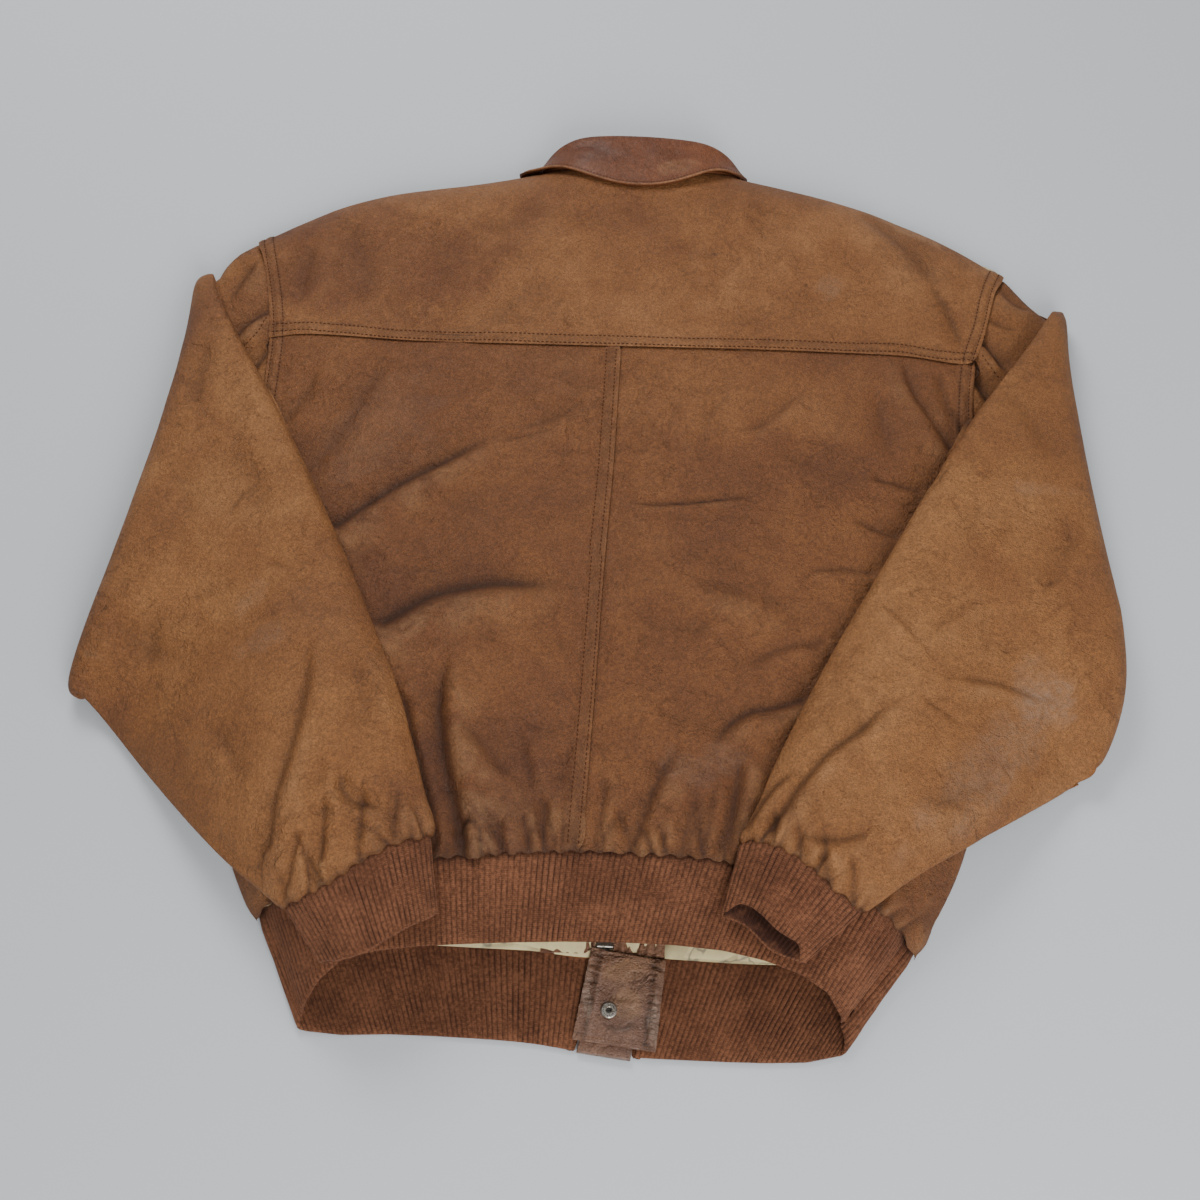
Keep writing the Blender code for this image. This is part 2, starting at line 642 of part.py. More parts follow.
def build_waistband():
    """The rib-knit waistband, from one side of the front tab round the back to the other."""
    outer_rows, inner_rows = [], []
    for share in (BAND_SEAM_SHARE, *BAND_ROWS):
        front_left, front_right = band_front(LEFT, share), band_front(RIGHT, share)
        turn_left, turn_right = band_turn(LEFT, share), band_turn(RIGHT, share)
        back = band_back(share)
        for rows, k in ((outer_rows, 0), (inner_rows, 1)):
            rows.append(front_left[k][::-1] + turn_left[k] + back[k] + turn_right[k][::-1]
                        + front_right[k])
    cloth_wall("waistband", np.array(outer_rows), np.array(inner_rows), RIB)


# ---------------------------------------------------------------- sleeves and cuffs


def sleeve_ring(centres, normal, halves, roll, wall):
    """One ring round an arm: upper wall, a turn, the lower wall and the other turn."""
    outer, inner = [], []
    for line, beyond in ((centres[0], centres[1]), (centres[-1], centres[-2])):
        aside = line - beyond
        aside[2] = 0.0
        outer.append(aside / np.linalg.norm(aside))
    start_out, end_out = outer
    outer = []
    least = 0.5 * SEAM
    turns = np.radians(TURN_ANGLES)
    for centre, half in zip(centres, halves):
        outer.append(centre + normal * half)
        inner.append(centre + normal * max(half - wall, least))
    for angle in turns:
        way = end_out * math.cos(angle) + normal * math.sin(angle)
        outer.append(centres[-1] + way * roll)
        inner.append(centres[-1] + way * max(roll - wall, least))
    for centre, half in zip(centres[::-1], halves[::-1]):
        outer.append(centre - normal * half)
        inner.append(centre - normal * max(half - wall, least))
    for angle in -turns:
        way = start_out * math.cos(angle) + normal * math.sin(angle)
        outer.append(centres[0] + way * roll)
        inner.append(centres[0] + way * max(roll - wall, least))
    return outer, inner


def drawn_in(row, roll):
    """Narrows a row of plan points at both ends by the radius of its soft edges."""
    row = np.array(row)
    lengths = np.linalg.norm(np.diff(row, axis=0), axis=1)
    share = (np.concatenate([[0.0], np.cumsum(lengths)]) / lengths.sum())[:, None]
    start, end = row[2] - row[0], row[-3] - row[-1]
    return row + roll * ((1 - share) * start / np.linalg.norm(start) + share * end / np.linalg.norm(end))


def tube_halves(row, full_height, roll):
    """Half heights across a flattened tube, from its edges to its full height."""
    width = np.linalg.norm(row[-1] - row[0])
    halves = []
    for plan in row:
        near = min(np.linalg.norm(plan - row[0]), np.linalg.norm(plan - row[-1]))
        reach = min(TUBE_REACH, 0.5 * width)
        rise = math.sin(0.5 * math.pi * min(near / reach, 1.0)) ** ROLL_POWER
        halves.append(roll + (0.5 * full_height - roll) * rise)
    return halves


class Sleeve:
    """A sleeve folded over the back: rings that run along the arm and turn at the fold."""

    def __init__(self, side):
        """Works out the pivot line of the fold and the sleeve's height along it."""
        self.side = side
        fold = dense_curve(side.fold)
        along = (fold[-1] - fold[0]) / np.linalg.norm(fold[-1] - fold[0])
        self.outward = np.array([along[1], -along[0]])
        if self.outward[0] * side.sign < 0:
            self.outward = -self.outward
        self.shares = eased(10)
        self.thick = []
        pivots = []
        for share in self.shares:
            edge = at_length(fold, share)
            thick = max(back_height(*(edge - self.outward * FOLD_PROBE)), 2 * EDGE_ROLL)
            self.thick.append(thick)
            pivots.append(edge - self.outward * (FOLD_INNER + thick))
        self.thick[0] = self.thick[-1] = 2 * EDGE_ROLL
        self.pivots = np.array(pivots)

    def upper_rings(self):
        """Rings of the upper arm, flat on the surface, from the armhole to the fold."""
        side = self.side
        top = dense_curve(side.sleeve_top)
        top[-1] = self.pivots[0]
        under = np.array([side.armpit, self.pivots[-1]], float)
        along = np.linspace(0, 1, UPPER_ROWS + 1)[:-1]
        grid = patch(dense_curve(side.armhole), self.pivots, top, under, self.shares, along)
        grid[0] += 4.0 * SEAM * np.array([side.sign, 0])
        for share, row in zip(along, grid):
            roll = 0.5 * EDGE_HEIGHT * (1 - share) + EDGE_ROLL * share
            row = drawn_in(row, roll)
            halves = [0.5 * max(back_height(*p), 2 * roll) for p in row]
            centres = [np.array([*p, h]) for p, h in zip(row, halves)]
            yield centres, np.array([0, 0, -1.0]), halves, roll

    def fold_rings(self):
        """Rings that turn over about the fold's pivot line."""
        row = drawn_in(self.pivots, EDGE_ROLL)
        halves = [0.5 * thick for thick in self.thick]
        for step in range(FOLD_STEPS + 1):
            angle = math.pi * step / FOLD_STEPS
            normal = np.array([*(self.outward * math.sin(angle)), -math.cos(angle)])
            centres = [np.array([*plan, FOLD_INNER + 2 * half]) + normal * (FOLD_INNER + half)
                       for plan, half in zip(row, halves)]
            yield centres, normal, halves, EDGE_ROLL

    def forearm_rings(self):
        """Rings of the forearm, over the back, from the fold to the cuff."""
        top, under = dense_curve(self.side.forearm_top), dense_curve(self.side.forearm_under)
        top[0], under[0] = self.pivots[0], self.pivots[-1]
        along = np.linspace(0, 1, FOREARM_ROWS + 1)[1:]
        cuff_seam = dense_curve(self.side.cuff_seam)
        grid = patch(self.pivots, cuff_seam, top, under, self.shares, along)
        for share, row in zip(along, grid):
            row = drawn_in(row, EDGE_ROLL)
            blend = smoothstep(share / 0.3)
            near_cuff = smoothstep((share - 0.8) / 0.2)
            height = FOREARM_HEIGHT + (CUFF_HEIGHT - FOREARM_HEIGHT) * near_cuff
            halves = [0.5 * thick * (1 - blend) + half * blend
                      for thick, half in zip(self.thick, tube_halves(row, height, EDGE_ROLL))]
            centres = [np.array([*plan, support_height(*plan) + LAYER_GAP + half])
                       for plan, half in zip(row, halves)]
            yield centres, np.array([0, 0, 1.0]), halves, EDGE_ROLL

    def build(self):
        """Makes the front wall, which wraps the soft edges, and the back wall."""
        outer, inner = [], []
        for rings in (self.upper_rings(), self.fold_rings(), self.forearm_rings()):
            for centres, normal, halves, roll in rings:
                ring = sleeve_ring(centres, normal, halves, roll, LEATHER)
                outer.append(ring[0])
                inner.append(ring[1])
        outer, inner = np.array(outer), np.array(inner)
        count, turns = len(self.shares), len(TURN_ANGLES)
        last = 2 * count + turns - 1
        front = np.r_[last:last + turns + 1, 0:count + turns + 1]
        back = np.r_[count + turns:last + 1]
        name = f"sleeve_{self.side.name}"
        cloth_wall(f"{name}_front", outer[:, front], inner[:, front], TAN)
        cloth_wall(f"{name}_back", self.clear_of_seam(outer[:, back]),
                   self.clear_of_seam(inner[:, back]), TAN)

    def clear_of_seam(self, grid):
        """Draws a wall's long edges in, clear of the wall that it is sewn to."""
        grid = grid.copy()
        for line, near in ((0, 1), (-1, -2)):
            step = grid[:, near] - grid[:, line]
            grid[:, line] += SEAM * step / np.linalg.norm(step, axis=1)[:, None]
        return grid

    def build_cuff(self):
        """Makes the rib-knit cuff, an open flattened tube past the sleeve's end."""
        seam, edge = dense_curve(self.side.cuff_seam), dense_curve(self.side.cuff_edge)
        sides = np.array([seam[0], edge[0]]), np.array([seam[-1], edge[-1]])
        along = np.array([CUFF_SEAM_SHARE, *BAND_ROWS])
        grid = patch(seam, edge, *sides, self.shares, along)
        outer, inner = [], []
        for row in grid:
            row = drawn_in(row, EDGE_ROLL)
            halves = tube_halves(row, CUFF_HEIGHT, EDGE_ROLL)
            centres = [np.array([*plan, support_height(*plan) + LAYER_GAP + half])
                       for plan, half in zip(row, halves)]
            ring = sleeve_ring(centres, np.array([0, 0, 1.0]), halves, EDGE_ROLL, KNIT)
            outer.append(ring[0])
            inner.append(ring[1])
        cloth_wall(f"cuff_{self.side.name}", np.array(outer), np.array(inner), RIB, tube=True)


# ---------------------------------------------------------------- collar


def collar_sheet(name, starts, ends, shares, low, lift, turn, roll_over=0.0, end_lift=0.0):
    """Makes a part of the collar that runs round the neck, from one curve to another.

    Each of starts and ends holds the curves of the left front, the back and the right
    front. low is the height of the front's lower face, lift that of the back's lower face
    over the yoke's, and turn the radius at the sides. roll_over drops the first row, and
    end_lift raises the last one near its two ends.
    """
    outer_rows, inner_rows = [], []
    for number, share in enumerate(shares):
        outer, inner = [], []

        def point(k, t, share=share):
            return at_length(starts[k], t) * (1 - share) + at_length(ends[k], t) * share

        def floor_points(k, ts):
            for t in ts:
                outer.append((*point(k, t), low))
                inner.append((*point(k, t), low + COLLAR_LEATHER))

        def turn_points(k, t, side_out, angles):
            pivot = point(k, t)
            for angle in np.radians(angles):
                for radius, points in ((turn, outer), (turn - COLLAR_LEATHER, inner)):
                    plan = pivot + side_out * radius * math.cos(angle)
                    points.append((*plan, low + turn + radius * math.sin(angle)))

        front_columns = np.linspace(0, 1, NECK_COLUMNS)[:-1]
        floor_points(0, [*front_columns, 0.94])
        turn_points(1, 0.0, np.array([-0.6, 0.8]), [-60, -20, 20, 60])
        for t in np.concatenate([[0.05, 0.12], np.linspace(0.2, 0.8, 6), [0.88, 0.95]]):
            plan = point(1, t)
            rest = lift + end_lift * share * max(1 - abs(min(t, 1 - t) - 0.14) / 0.16, 0.0)
            high = max(back_height(*plan) + rest + COLLAR_LEATHER, low + 2 * turn)
            high -= roll_over if number == 0 else 0.0
            outer.append((*plan, high))
            inner.append((*plan, high - COLLAR_LEATHER))
        turn_points(1, 1.0, np.array([0.6, 0.8]), [60, 20, -20, -60])
        floor_points(2, [0.06, *(1 - front_columns[::-1])])
        outer_rows.append(outer)
        inner_rows.append(inner)
    cloth_wall(name, np.array(outer_rows), np.array(inner_rows), RUSSET)


def columned(curve):
    """Straightens a front neck curve between the columns of the front."""
    return np.array([at_length(curve, t) for t in np.linspace(0, 1, NECK_COLUMNS)])


def build_collar():
    """The collar's stand, and its fall, folded down over the yoke and under the fronts."""
    clear = NECK_CLEAR
    neck = [Plan(p.x, p.y + clear) for p in BACK_NECK]
    neck[0] = Plan(neck[0].x + 1.5 * clear, neck[0].y)
    neck[-1] = Plan(neck[-1].x - 1.5 * clear, neck[-1].y)
    necks = [columned(neck_arc(LEFT, BACK_NECK[0], FRONT_NECK_DEPTH, clear))[::-1],
             dense_curve(neck),
             columned(neck_arc(RIGHT, BACK_NECK[-1], FRONT_NECK_DEPTH, clear))]
    rise = FRONT_NECK_DEPTH - STAND_FRONT
    folds = [columned(neck_arc(LEFT, BACK_FOLD[0], rise))[::-1], dense_curve(BACK_FOLD),
             columned(neck_arc(RIGHT, BACK_FOLD[-1], rise))]
    falls = [dense_curve(LEFT_FALL)[::-1], dense_curve(BACK_FALL), dense_curve(RIGHT_FALL)]
    collar_sheet("collar_stand", necks, folds, (0.0, 0.5, 0.84), COLLAR_LIFT + SEAM,
                 -COLLAR_LEATHER, 3.2)
    collar_sheet("collar_fall", folds, falls, (0.0, 0.07, 0.5, 1.0), 0.0,
                 FALL_REST, 6.2, roll_over=2.6, end_lift=END_LIFT)


# ---------------------------------------------------------------- zip, facings and lining


def front_inside(x, y):
    """Height just above a front's inner face."""
    return front_base(x, y) + LEATHER + SEAM


def strip_grid(offsets, sign, rows):
    """Plan grid of a strip beside the zip, from its columns' offsets and its rows' places."""
    grid = np.array([[(ZIP_X + sign * d, y) for d in offsets] for y in rows])
    return grid if sign > 0 else grid[:, ::-1]


def build_zip(side):
    """Half of the zip: its chain, between the fronts' edges, and its tape inside them."""
    rows = [*np.linspace(ZIP_FOOT, LIFT_FROM, 6), LIFT_TO, ZIP_TOP]
    grid = strip_grid([0.5 * SEAM, CHAIN_HALF, CHAIN_HALF + 0.2, TAPE_HALF], side.sign, rows)

    def lower(x, y):
        chain = abs(x - ZIP_X) < CHAIN_HALF + 0.1
        return front_base(x, y) + CHAIN_LOW if chain else front_inside(x, y)

    def upper(x, y):
        return front_inside(x, y) + TAPE

    sheet_between(f"zip_{side.name}", grid, lower, upper, TAPE_CLOTH)


def facing_foot(x):
    """Lower end of a facing, at the waist seam or clear of the inner tab."""
    tab_left, tab_right = INNER_TAB[3], INNER_TAB[2]
    seam = FRONT_WAIST[3].y + 1.0
    if x < tab_left.x - 1:
        return seam
    return max(np.interp(x, [tab_left.x, tab_right.x], [tab_left.y, tab_right.y]) + 0.5, seam)


def build_facing(side):
    """The leather facing inside a front, beside the zip and over the edge of its tape."""
    outer_edge = abs(FACING_EDGES[side.name] - ZIP_X)
    offsets = [FACING_INNER, 9.5, TAPE_HALF + 0.6, TAPE_HALF + 4.0,
               0.5 * (TAPE_HALF + 4.0 + outer_edge), outer_edge]
    top = FRONT_WAIST[3].y + LINING_DEPTH
    grid = strip_grid(offsets, side.sign, [0.0] * 9)
    for column in grid.transpose(1, 0, 2):
        column[:, 1] = np.linspace(facing_foot(column[0, 0]), top, len(column))

    def lower(x, y):
        off_tape = smoothstep((abs(x - ZIP_X) - TAPE_HALF - 0.6) / 3.4)
        return front_inside(x, y) + (TAPE + SEAM) * (1 - off_tape)

    sheet_between(f"facing_{side.name}", grid, lower, lambda x, y: lower(x, y) + FACING, RUSSET)


def build_lining(side):
    """The lining inside a front, from its facing towards the side seam."""
    inner_edge = FACING_EDGES[side.name] + side.sign * SEAM
    waist = dense_curve(FRONT_WAIST)
    line = dense_curve(side.side_seam)
    order = np.argsort(line[:, 1])
    rows = []
    for share in np.linspace(0, 1, LINING_ROWS):
        row = []
        side_y = FRONT_WAIST[3].y + 2.0 + LINING_DEPTH * share + LINING_SIDE_RISE * (1 - share)
        edge = np.interp(side_y, line[order, 1], line[order, 0]) - side.sign * LINING_CLEAR
        for t in np.linspace(0, 1, LINING_ROWS):
            x = inner_edge + (edge - inner_edge) * t
            foot = np.interp(x, waist[:, 0], waist[:, 1]) + 1.2
            row.append((x, foot + (FRONT_WAIST[3].y + LINING_DEPTH - foot) * share))
        rows.append(row if side is RIGHT else row[::-1])
    sheet_between(f"lining_{side.name}", np.array(rows), front_inside,
                  lambda x, y: front_inside(x, y) + LINING, CREAM)


def block(name, middle, size, low, colour, softened):
    """Makes a small block with bevelled edges, given its plan middle and lowest height."""
    mesh = bpy.data.meshes.new(name)
    work = bmesh.new()
    bmesh.ops.create_cube(work, size=1.0)
    bmesh.ops.scale(work, vec=Vector(size) * MM, verts=work.verts)
    bmesh.ops.translate(work, vec=placed((*middle, low + 0.5 * size[2])), verts=work.verts)
    bmesh.ops.bevel(work, geom=work.edges[:], offset=softened * MM, segments=2, affect="EDGES",
                    clamp_overlap=True, profile=0.5)
    work.to_mesh(mesh)
    work.free()
    return finish_object(name, mesh, colour)


def build_zip_metal():
    """The zip's retainer box at its foot and its slider at its top."""
    foot = ZIP_FOOT - 0.6 - 0.5 * BOX_LENGTH
    block("zip_box", (ZIP_X, foot), (BOX_WIDTH, BOX_LENGTH, BOX_HEIGHT),
          front_inside(ZIP_X, foot), STEEL, 1.0)
    top = ZIP_TOP + SEAM + 0.5 * SLIDER_LENGTH
    block("zip_slider", (ZIP_X, top), (SLIDER_WIDTH, SLIDER_LENGTH, SLIDER_HEIGHT),
          front_base(ZIP_X, top) + 0.3, STEEL, 0.8)


# ---------------------------------------------------------------- waistband tabs and snap


def flat_tab(name, corners, low):
    """Makes a flat leather tab from its four corners, subdivided, with a solid's thickness."""
    mesh = bpy.data.meshes.new(name)
    work = bmesh.new()
    verts = [work.verts.new(placed((*corner, low + TAB_THICK))) for corner in corners]
    work.faces.new(verts)
    bmesh.ops.subdivide_edges(work, edges=work.edges[:], cuts=3, use_grid_fill=True)
    work.to_mesh(mesh)
    work.free()
    made = finish_object(name, mesh, TAB)
    wall = made.modifiers.new("thickness", "SOLIDIFY")
    wall.thickness = TAB_THICK * MM
    wall.offset = -1.0
    return made


def turned(name, profile, colour):
    """Makes a turned piece at the snap from its profile, outer side first, top to bottom."""
    mesh = bpy.data.meshes.new(name)
    work = bmesh.new()
    verts = [work.verts.new(Vector((radius, 0.0, height)) * MM) for radius, height in profile]
    for first, second in zip(verts, verts[1:]):
        work.edges.new((first, second))
    if profile[0][0] > 0:
        work.edges.new((verts[-1], verts[0]))
    work.to_mesh(mesh)
    work.free()
    made = finish_object(name, mesh, colour)
    made.location = placed((*SNAP_AT, 0.0))
    spin = made.modifiers.new("turn", "SCREW")
    spin.steps = spin.render_steps = 24
    spin.use_merge_vertices = True
    spin.merge_threshold = 0.00001
    return made


def build_tabs():
    """The two leather tabs that overlap at the front, with the snap that holds them."""
    outer_low = CAP_HEIGHT + SEAM
    inner_low = outer_low + TAB_THICK + SEAM
    flat_tab("tab_outer", OUTER_TAB, outer_low)
    flat_tab("tab_inner", INNER_TAB, inner_low)
    low = inner_low + TAB_THICK + SEAM
    high = low + SNAP_HEIGHT
    turned("snap_ring", [(SNAP_RADIUS - 0.6, high), (SNAP_RADIUS, high - 0.5), (SNAP_RADIUS, low),
                         (SNAP_HOLE, low), (SNAP_HOLE, high - 0.4), (SNAP_HOLE + 0.6, high)], STEEL)
    turned("snap_cap", [(0.0, CAP_HEIGHT), (CAP_RADIUS - 0.5, CAP_HEIGHT), (CAP_RADIUS, CAP_HEIGHT - 0.5),
                        (CAP_RADIUS, 0.4), (CAP_RADIUS - 0.4, 0.0), (0.0, 0.0)], STEEL)


# ---------------------------------------------------------------- main


def main():
    """Builds every piece of the jacket."""
    clear_scene()
    new_collection("leather_jacket")
    build_yoke()
    for side in (LEFT, RIGHT):
        build_back_panel(side)
        build_front(side)
        build_lining(side)
        build_facing(side)
        build_zip(side)
        sleeve = Sleeve(side)
        sleeve.build()
        sleeve.build_cuff()
    build_waistband()
    build_collar()
    build_zip_metal()
    build_tabs()


main()
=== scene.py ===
"""Looks of a leather bomber jacket that lies face down with its sleeves folded over its back.

Every cloth piece takes its form from its node of the frame, and is then refined, creased,
ribbed and stitched here. Lengths in the tables are millimetres on the plan, +Y towards the
collar; meshes are in metres.
"""

import heapq
import json
import logging
import math
from contextlib import contextmanager
from dataclasses import dataclass, field
from enum import Enum
from typing import Callable, Iterable, Iterator, Sequence

import bmesh
import bpy
import numpy as np
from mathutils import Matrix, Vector, noise
from mathutils.bvhtree import BVHTree
from mathutils.kdtree import KDTree

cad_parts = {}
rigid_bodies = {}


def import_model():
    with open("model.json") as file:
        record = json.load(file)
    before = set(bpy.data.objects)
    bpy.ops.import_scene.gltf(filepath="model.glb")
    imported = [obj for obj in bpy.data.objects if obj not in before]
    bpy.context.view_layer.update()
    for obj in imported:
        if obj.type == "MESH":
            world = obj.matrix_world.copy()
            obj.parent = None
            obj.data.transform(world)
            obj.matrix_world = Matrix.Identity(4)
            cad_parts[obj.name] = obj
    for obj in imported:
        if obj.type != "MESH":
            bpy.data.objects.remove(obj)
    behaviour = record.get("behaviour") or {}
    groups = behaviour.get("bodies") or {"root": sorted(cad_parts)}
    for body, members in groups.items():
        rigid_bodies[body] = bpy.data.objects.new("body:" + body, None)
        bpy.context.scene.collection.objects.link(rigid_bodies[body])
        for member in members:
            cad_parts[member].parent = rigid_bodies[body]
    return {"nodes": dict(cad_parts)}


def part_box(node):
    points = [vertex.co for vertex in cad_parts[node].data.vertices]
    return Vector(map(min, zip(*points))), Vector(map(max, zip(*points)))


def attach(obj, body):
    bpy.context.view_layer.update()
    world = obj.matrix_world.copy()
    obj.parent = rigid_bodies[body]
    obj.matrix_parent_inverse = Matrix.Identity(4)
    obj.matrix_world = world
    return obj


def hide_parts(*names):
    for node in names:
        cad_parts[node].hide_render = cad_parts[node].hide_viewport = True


LOG = logging.getLogger("jacket")
MM = 0.001
BODY = "root"
SHARP = math.radians(66)

Point = tuple[float, float]
Line = tuple[Point, ...]
Colour = tuple[float, float, float]
Socket = bpy.types.NodeSocket
Sockets = bpy.types.bpy_prop_collection
Piece = bpy.types.Object
Mesh = bpy.types.Mesh
Node = bpy.types.Node
Tree = bpy.types.NodeTree
Array = np.ndarray
Arrays = tuple[Array, Array]


class Side(Enum):
    """The two halves of the jacket, as it lies."""

    LEFT = "left"
    RIGHT = "right"

    @property
    def sign(self) -> int:
        """The sign of X on this side."""
        return -1 if self is Side.LEFT else 1


class Skin(Enum):
    """The faces of a cloth wall, by the number of their material."""

    OUTER = 0
    INNER = 1
    EDGE = 2


class Ends(Enum):
    """The ends of a crease that stay as deep as its middle."""

    NEITHER = 0
    FIRST = 1
    LAST = 2
    BOTH = 3


# ---- curves


def dense(line: Sequence[Point], steps: int = 6) -> Array:
    """Runs a smooth curve through a line's points.

    Args:
        line: Plan points.
        steps: How many points each span gets.

    Returns:
        The curve's points, one a row.
    """
    points = np.array(line, float)
    if len(points) < 3:
        return points
    padded = np.vstack([2 * points[0] - points[1], points, 2 * points[-1] - points[-2]])
    out = []
    for i in range(len(points) - 1):
        a, b, c, d = padded[i:i + 4]
        for t in np.linspace(0, 1, steps, endpoint=False):
            out.append(0.5 * (2 * b + (c - a) * t + (2 * a - 5 * b + 4 * c - d) * t ** 2
                              + (3 * b - a - 3 * c + d) * t ** 3))
    out.append(points[-1])
    return np.array(out)


def along_curve(curve: Array) -> Array:
    """Returns the distance of each of a curve's points from its start."""
    steps = np.linalg.norm(np.diff(curve, axis=0), axis=1)
    return np.concatenate([[0.0], np.cumsum(steps)])


def resampled(curve: Array, count: int) -> Array:
    """Returns a curve's points spaced evenly, count of them."""
    along = along_curve(curve)
    where = np.linspace(0, along[-1], count)
    return np.stack([np.interp(where, along, curve[:, k]) for k in range(curve.shape[1])], 1)


@dataclass(frozen=True)
class NearLine:
    """Where points lie beside a curve.

    Attributes:
        beside: Signed distance, positive on the left of the curve's way.
        along: Distance along the curve of the nearest place on it.
        share: The same as a share of the curve's length.
    """

    beside: Array
    along: Array
    share: Array


def near_line(points: Array, curve: Array) -> NearLine:
    """Finds where plan points lie beside a plan curve.

    Args:
        points: Plan points, one a row.
        curve: The curve's points, one a row.

    Returns:
        Their places beside and along it.
    """
    start, run = curve[:-1], np.diff(curve, axis=0)
    length = np.linalg.norm(run, axis=1)
    starts = along_curve(curve)[:-1]
    best = np.full(len(points), 1e9)
    beside, along = np.zeros(len(points)), np.zeros(len(points))
    for a, r, size, base in zip(start, run, length, starts):
        offset = points - a
        t = np.clip(offset @ r / (size * size), 0, 1)
        gap = offset - t[:, None] * r
        distance = np.linalg.norm(gap, axis=1)
        closer = distance < best
        best[closer] = distance[closer]
        left = r[0] * offset[:, 1] - r[1] * offset[:, 0] >= 0
        beside[closer] = np.where(left, distance, -distance)[closer]
        along[closer] = (base + t * size)[closer]
    return NearLine(beside, along, along / (starts[-1] + length[-1]))


def unit(ways: Array) -> Array:
    """Returns ways of length 1."""
    return ways / np.maximum(np.linalg.norm(ways, axis=-1, keepdims=True), 1e-9)


def smooth_step(value: Array) -> Array:
    """Goes smoothly from 0 to 1 as value does."""
    t = np.clip(value, 0, 1)
    return t * t * (3 - 2 * t)


def bell(value: Array) -> Array:
    """A soft bump of height 1, about 1 wide on each side of 0."""
    return np.exp(-value * value)


def soft_noise(points: Array, size: float, seed: float = 0.0) -> Array:
    """Samples smooth noise, about -1 to 1, whose lumps are size across."""
    shift = Vector((seed * 7.3, seed * 3.1, seed * 5.7))
    return np.array([noise.noise(Vector(p) / size + shift) for p in points])


# ---- working on objects


def only(piece: Piece) -> None:
    """Makes a piece the only selected and the active object."""
    for thing in bpy.context.view_layer.objects:
        thing.select_set(False)
    piece.select_set(True)
    bpy.context.view_layer.objects.active = piece


@contextmanager
def editing(piece: Piece, chosen: bool = True) -> Iterator[None]:
    """Opens a piece in edit mode, with all of it selected, or with its selection as it is."""
    only(piece)
    bpy.ops.object.mode_set(mode="EDIT")
    if chosen:
        bpy.ops.mesh.select_all(action="SELECT")
    yield
    bpy.ops.object.mode_set(mode="OBJECT")


def read(items: Sockets, name: str, width: int = 1, kind: type = float) -> Array:
    """Reads one property of all of a mesh's points, edges, faces or corners.

    Args:
        items: The mesh's points, edges, faces or corners.
        name: The property.
        width: How many numbers it has.
        kind: Their type.

    Returns:
        One value a row.
    """
    flat = np.empty(len(items) * width, kind)
    items.foreach_get(name, flat)
    return flat.reshape(-1, width) if width > 1 else flat


def coordinates(mesh: Mesh) -> Array:
    """Returns a mesh's points, in metres."""
    return read(mesh.vertices, "co", 3)


def on_outer_skin(mesh: Mesh) -> Array:
    """Returns which of a mesh's faces belong to its outer skin."""
    return read(mesh.polygons, "material_index", kind=np.int32) == Skin.OUTER.value


def outer_loops(mesh: Mesh) -> list[Array]:
    """Returns the closed loops round a mesh's outer skin, the longest first."""
    return border_loops(mesh, set(np.flatnonzero(on_outer_skin(mesh)).tolist()))


def set_coordinates(mesh: Mesh, points: Array) -> None:
    """Moves a mesh's points to new places."""
    mesh.vertices.foreach_set("co", points.reshape(-1))
    mesh.update()


def set_mask(mesh: Mesh, name: str, values: Array) -> None:
    """Stores one value a point, for a finish to read."""
    layer = mesh.attributes.get(name) or mesh.attributes.new(name, "FLOAT", "POINT")
    layer.data.foreach_set("value", np.ascontiguousarray(values, np.float32))


def placed(name: str, data: bpy.types.ID) -> Piece:
    """Makes an object of a mesh, light or camera, and returns it."""
    piece = bpy.data.objects.new(name, data)
    bpy.context.scene.collection.objects.link(piece)
    return piece


def new_piece(name: str, points: Array, faces: Iterable[Sequence[int]]) -> Piece:
    """Makes a piece of loose data, for lofts between unlike sections.

    Args:
        name: The piece's name.
        points: Its points, in metres.
        faces: The numbers of each face's points.

    Returns:
        The new piece.
    """
    mesh = bpy.data.meshes.new(name)
    mesh.from_pydata(points.tolist(), [], [list(f) for f in faces])
    mesh.update()
    return placed(name, mesh)


def tube_faces(first: int, rings: int, sides: int, way: int = 1) -> list[tuple[int, ...]]:
    """Joins rings of points to a tube that is closed at both ends.

    Args:
        first: The number of its first point.
        rings: How many rings it has.
        sides: How many points each ring has.
        way: 1 or -1, whichever turns the faces outwards.

    Returns:
        The point numbers of each face.
    """
    last = first + (rings - 1) * sides
    faces = []
    for a in range(first, last, sides):
        for k in range(sides):
            n = (k + 1) % sides
            faces.append((a + k, a + n, a + sides + n, a + sides + k)[::way])
    return [*faces, tuple(range(first, first + sides))[::-way], tuple(range(last, last + sides))[::way]]


def copy_of_node(node: str, name: str) -> Piece:
    """Copies a node of the frame as one closed mesh of four-sided faces.

    Args:
        node: The node's name.
        name: The new piece's name.

    Returns:
        The new piece.
    """
    piece = placed(name, bpy.data.objects[node].data.copy())
    piece.data.name = name
    piece.data.materials.clear()
    with editing(piece):
        bpy.ops.mesh.remove_doubles(threshold=0.00001)
        bpy.ops.mesh.tris_convert_to_quads(face_threshold=math.pi, shape_threshold=math.pi)
    return piece


def crease_sharp_edges(mesh: Mesh) -> None:
    """Marks a mesh's sharp edges, so that they stay crisp."""
    work = bmesh.new()
    work.from_mesh(mesh)
    layer = work.edges.layers.float.get("crease_edge") or work.edges.layers.float.new("crease_edge")
    for edge in work.edges:
        edge[layer] = 1.0 if edge.calc_face_angle(math.pi) > SHARP else 0.0
    work.to_mesh(mesh)
    work.free()


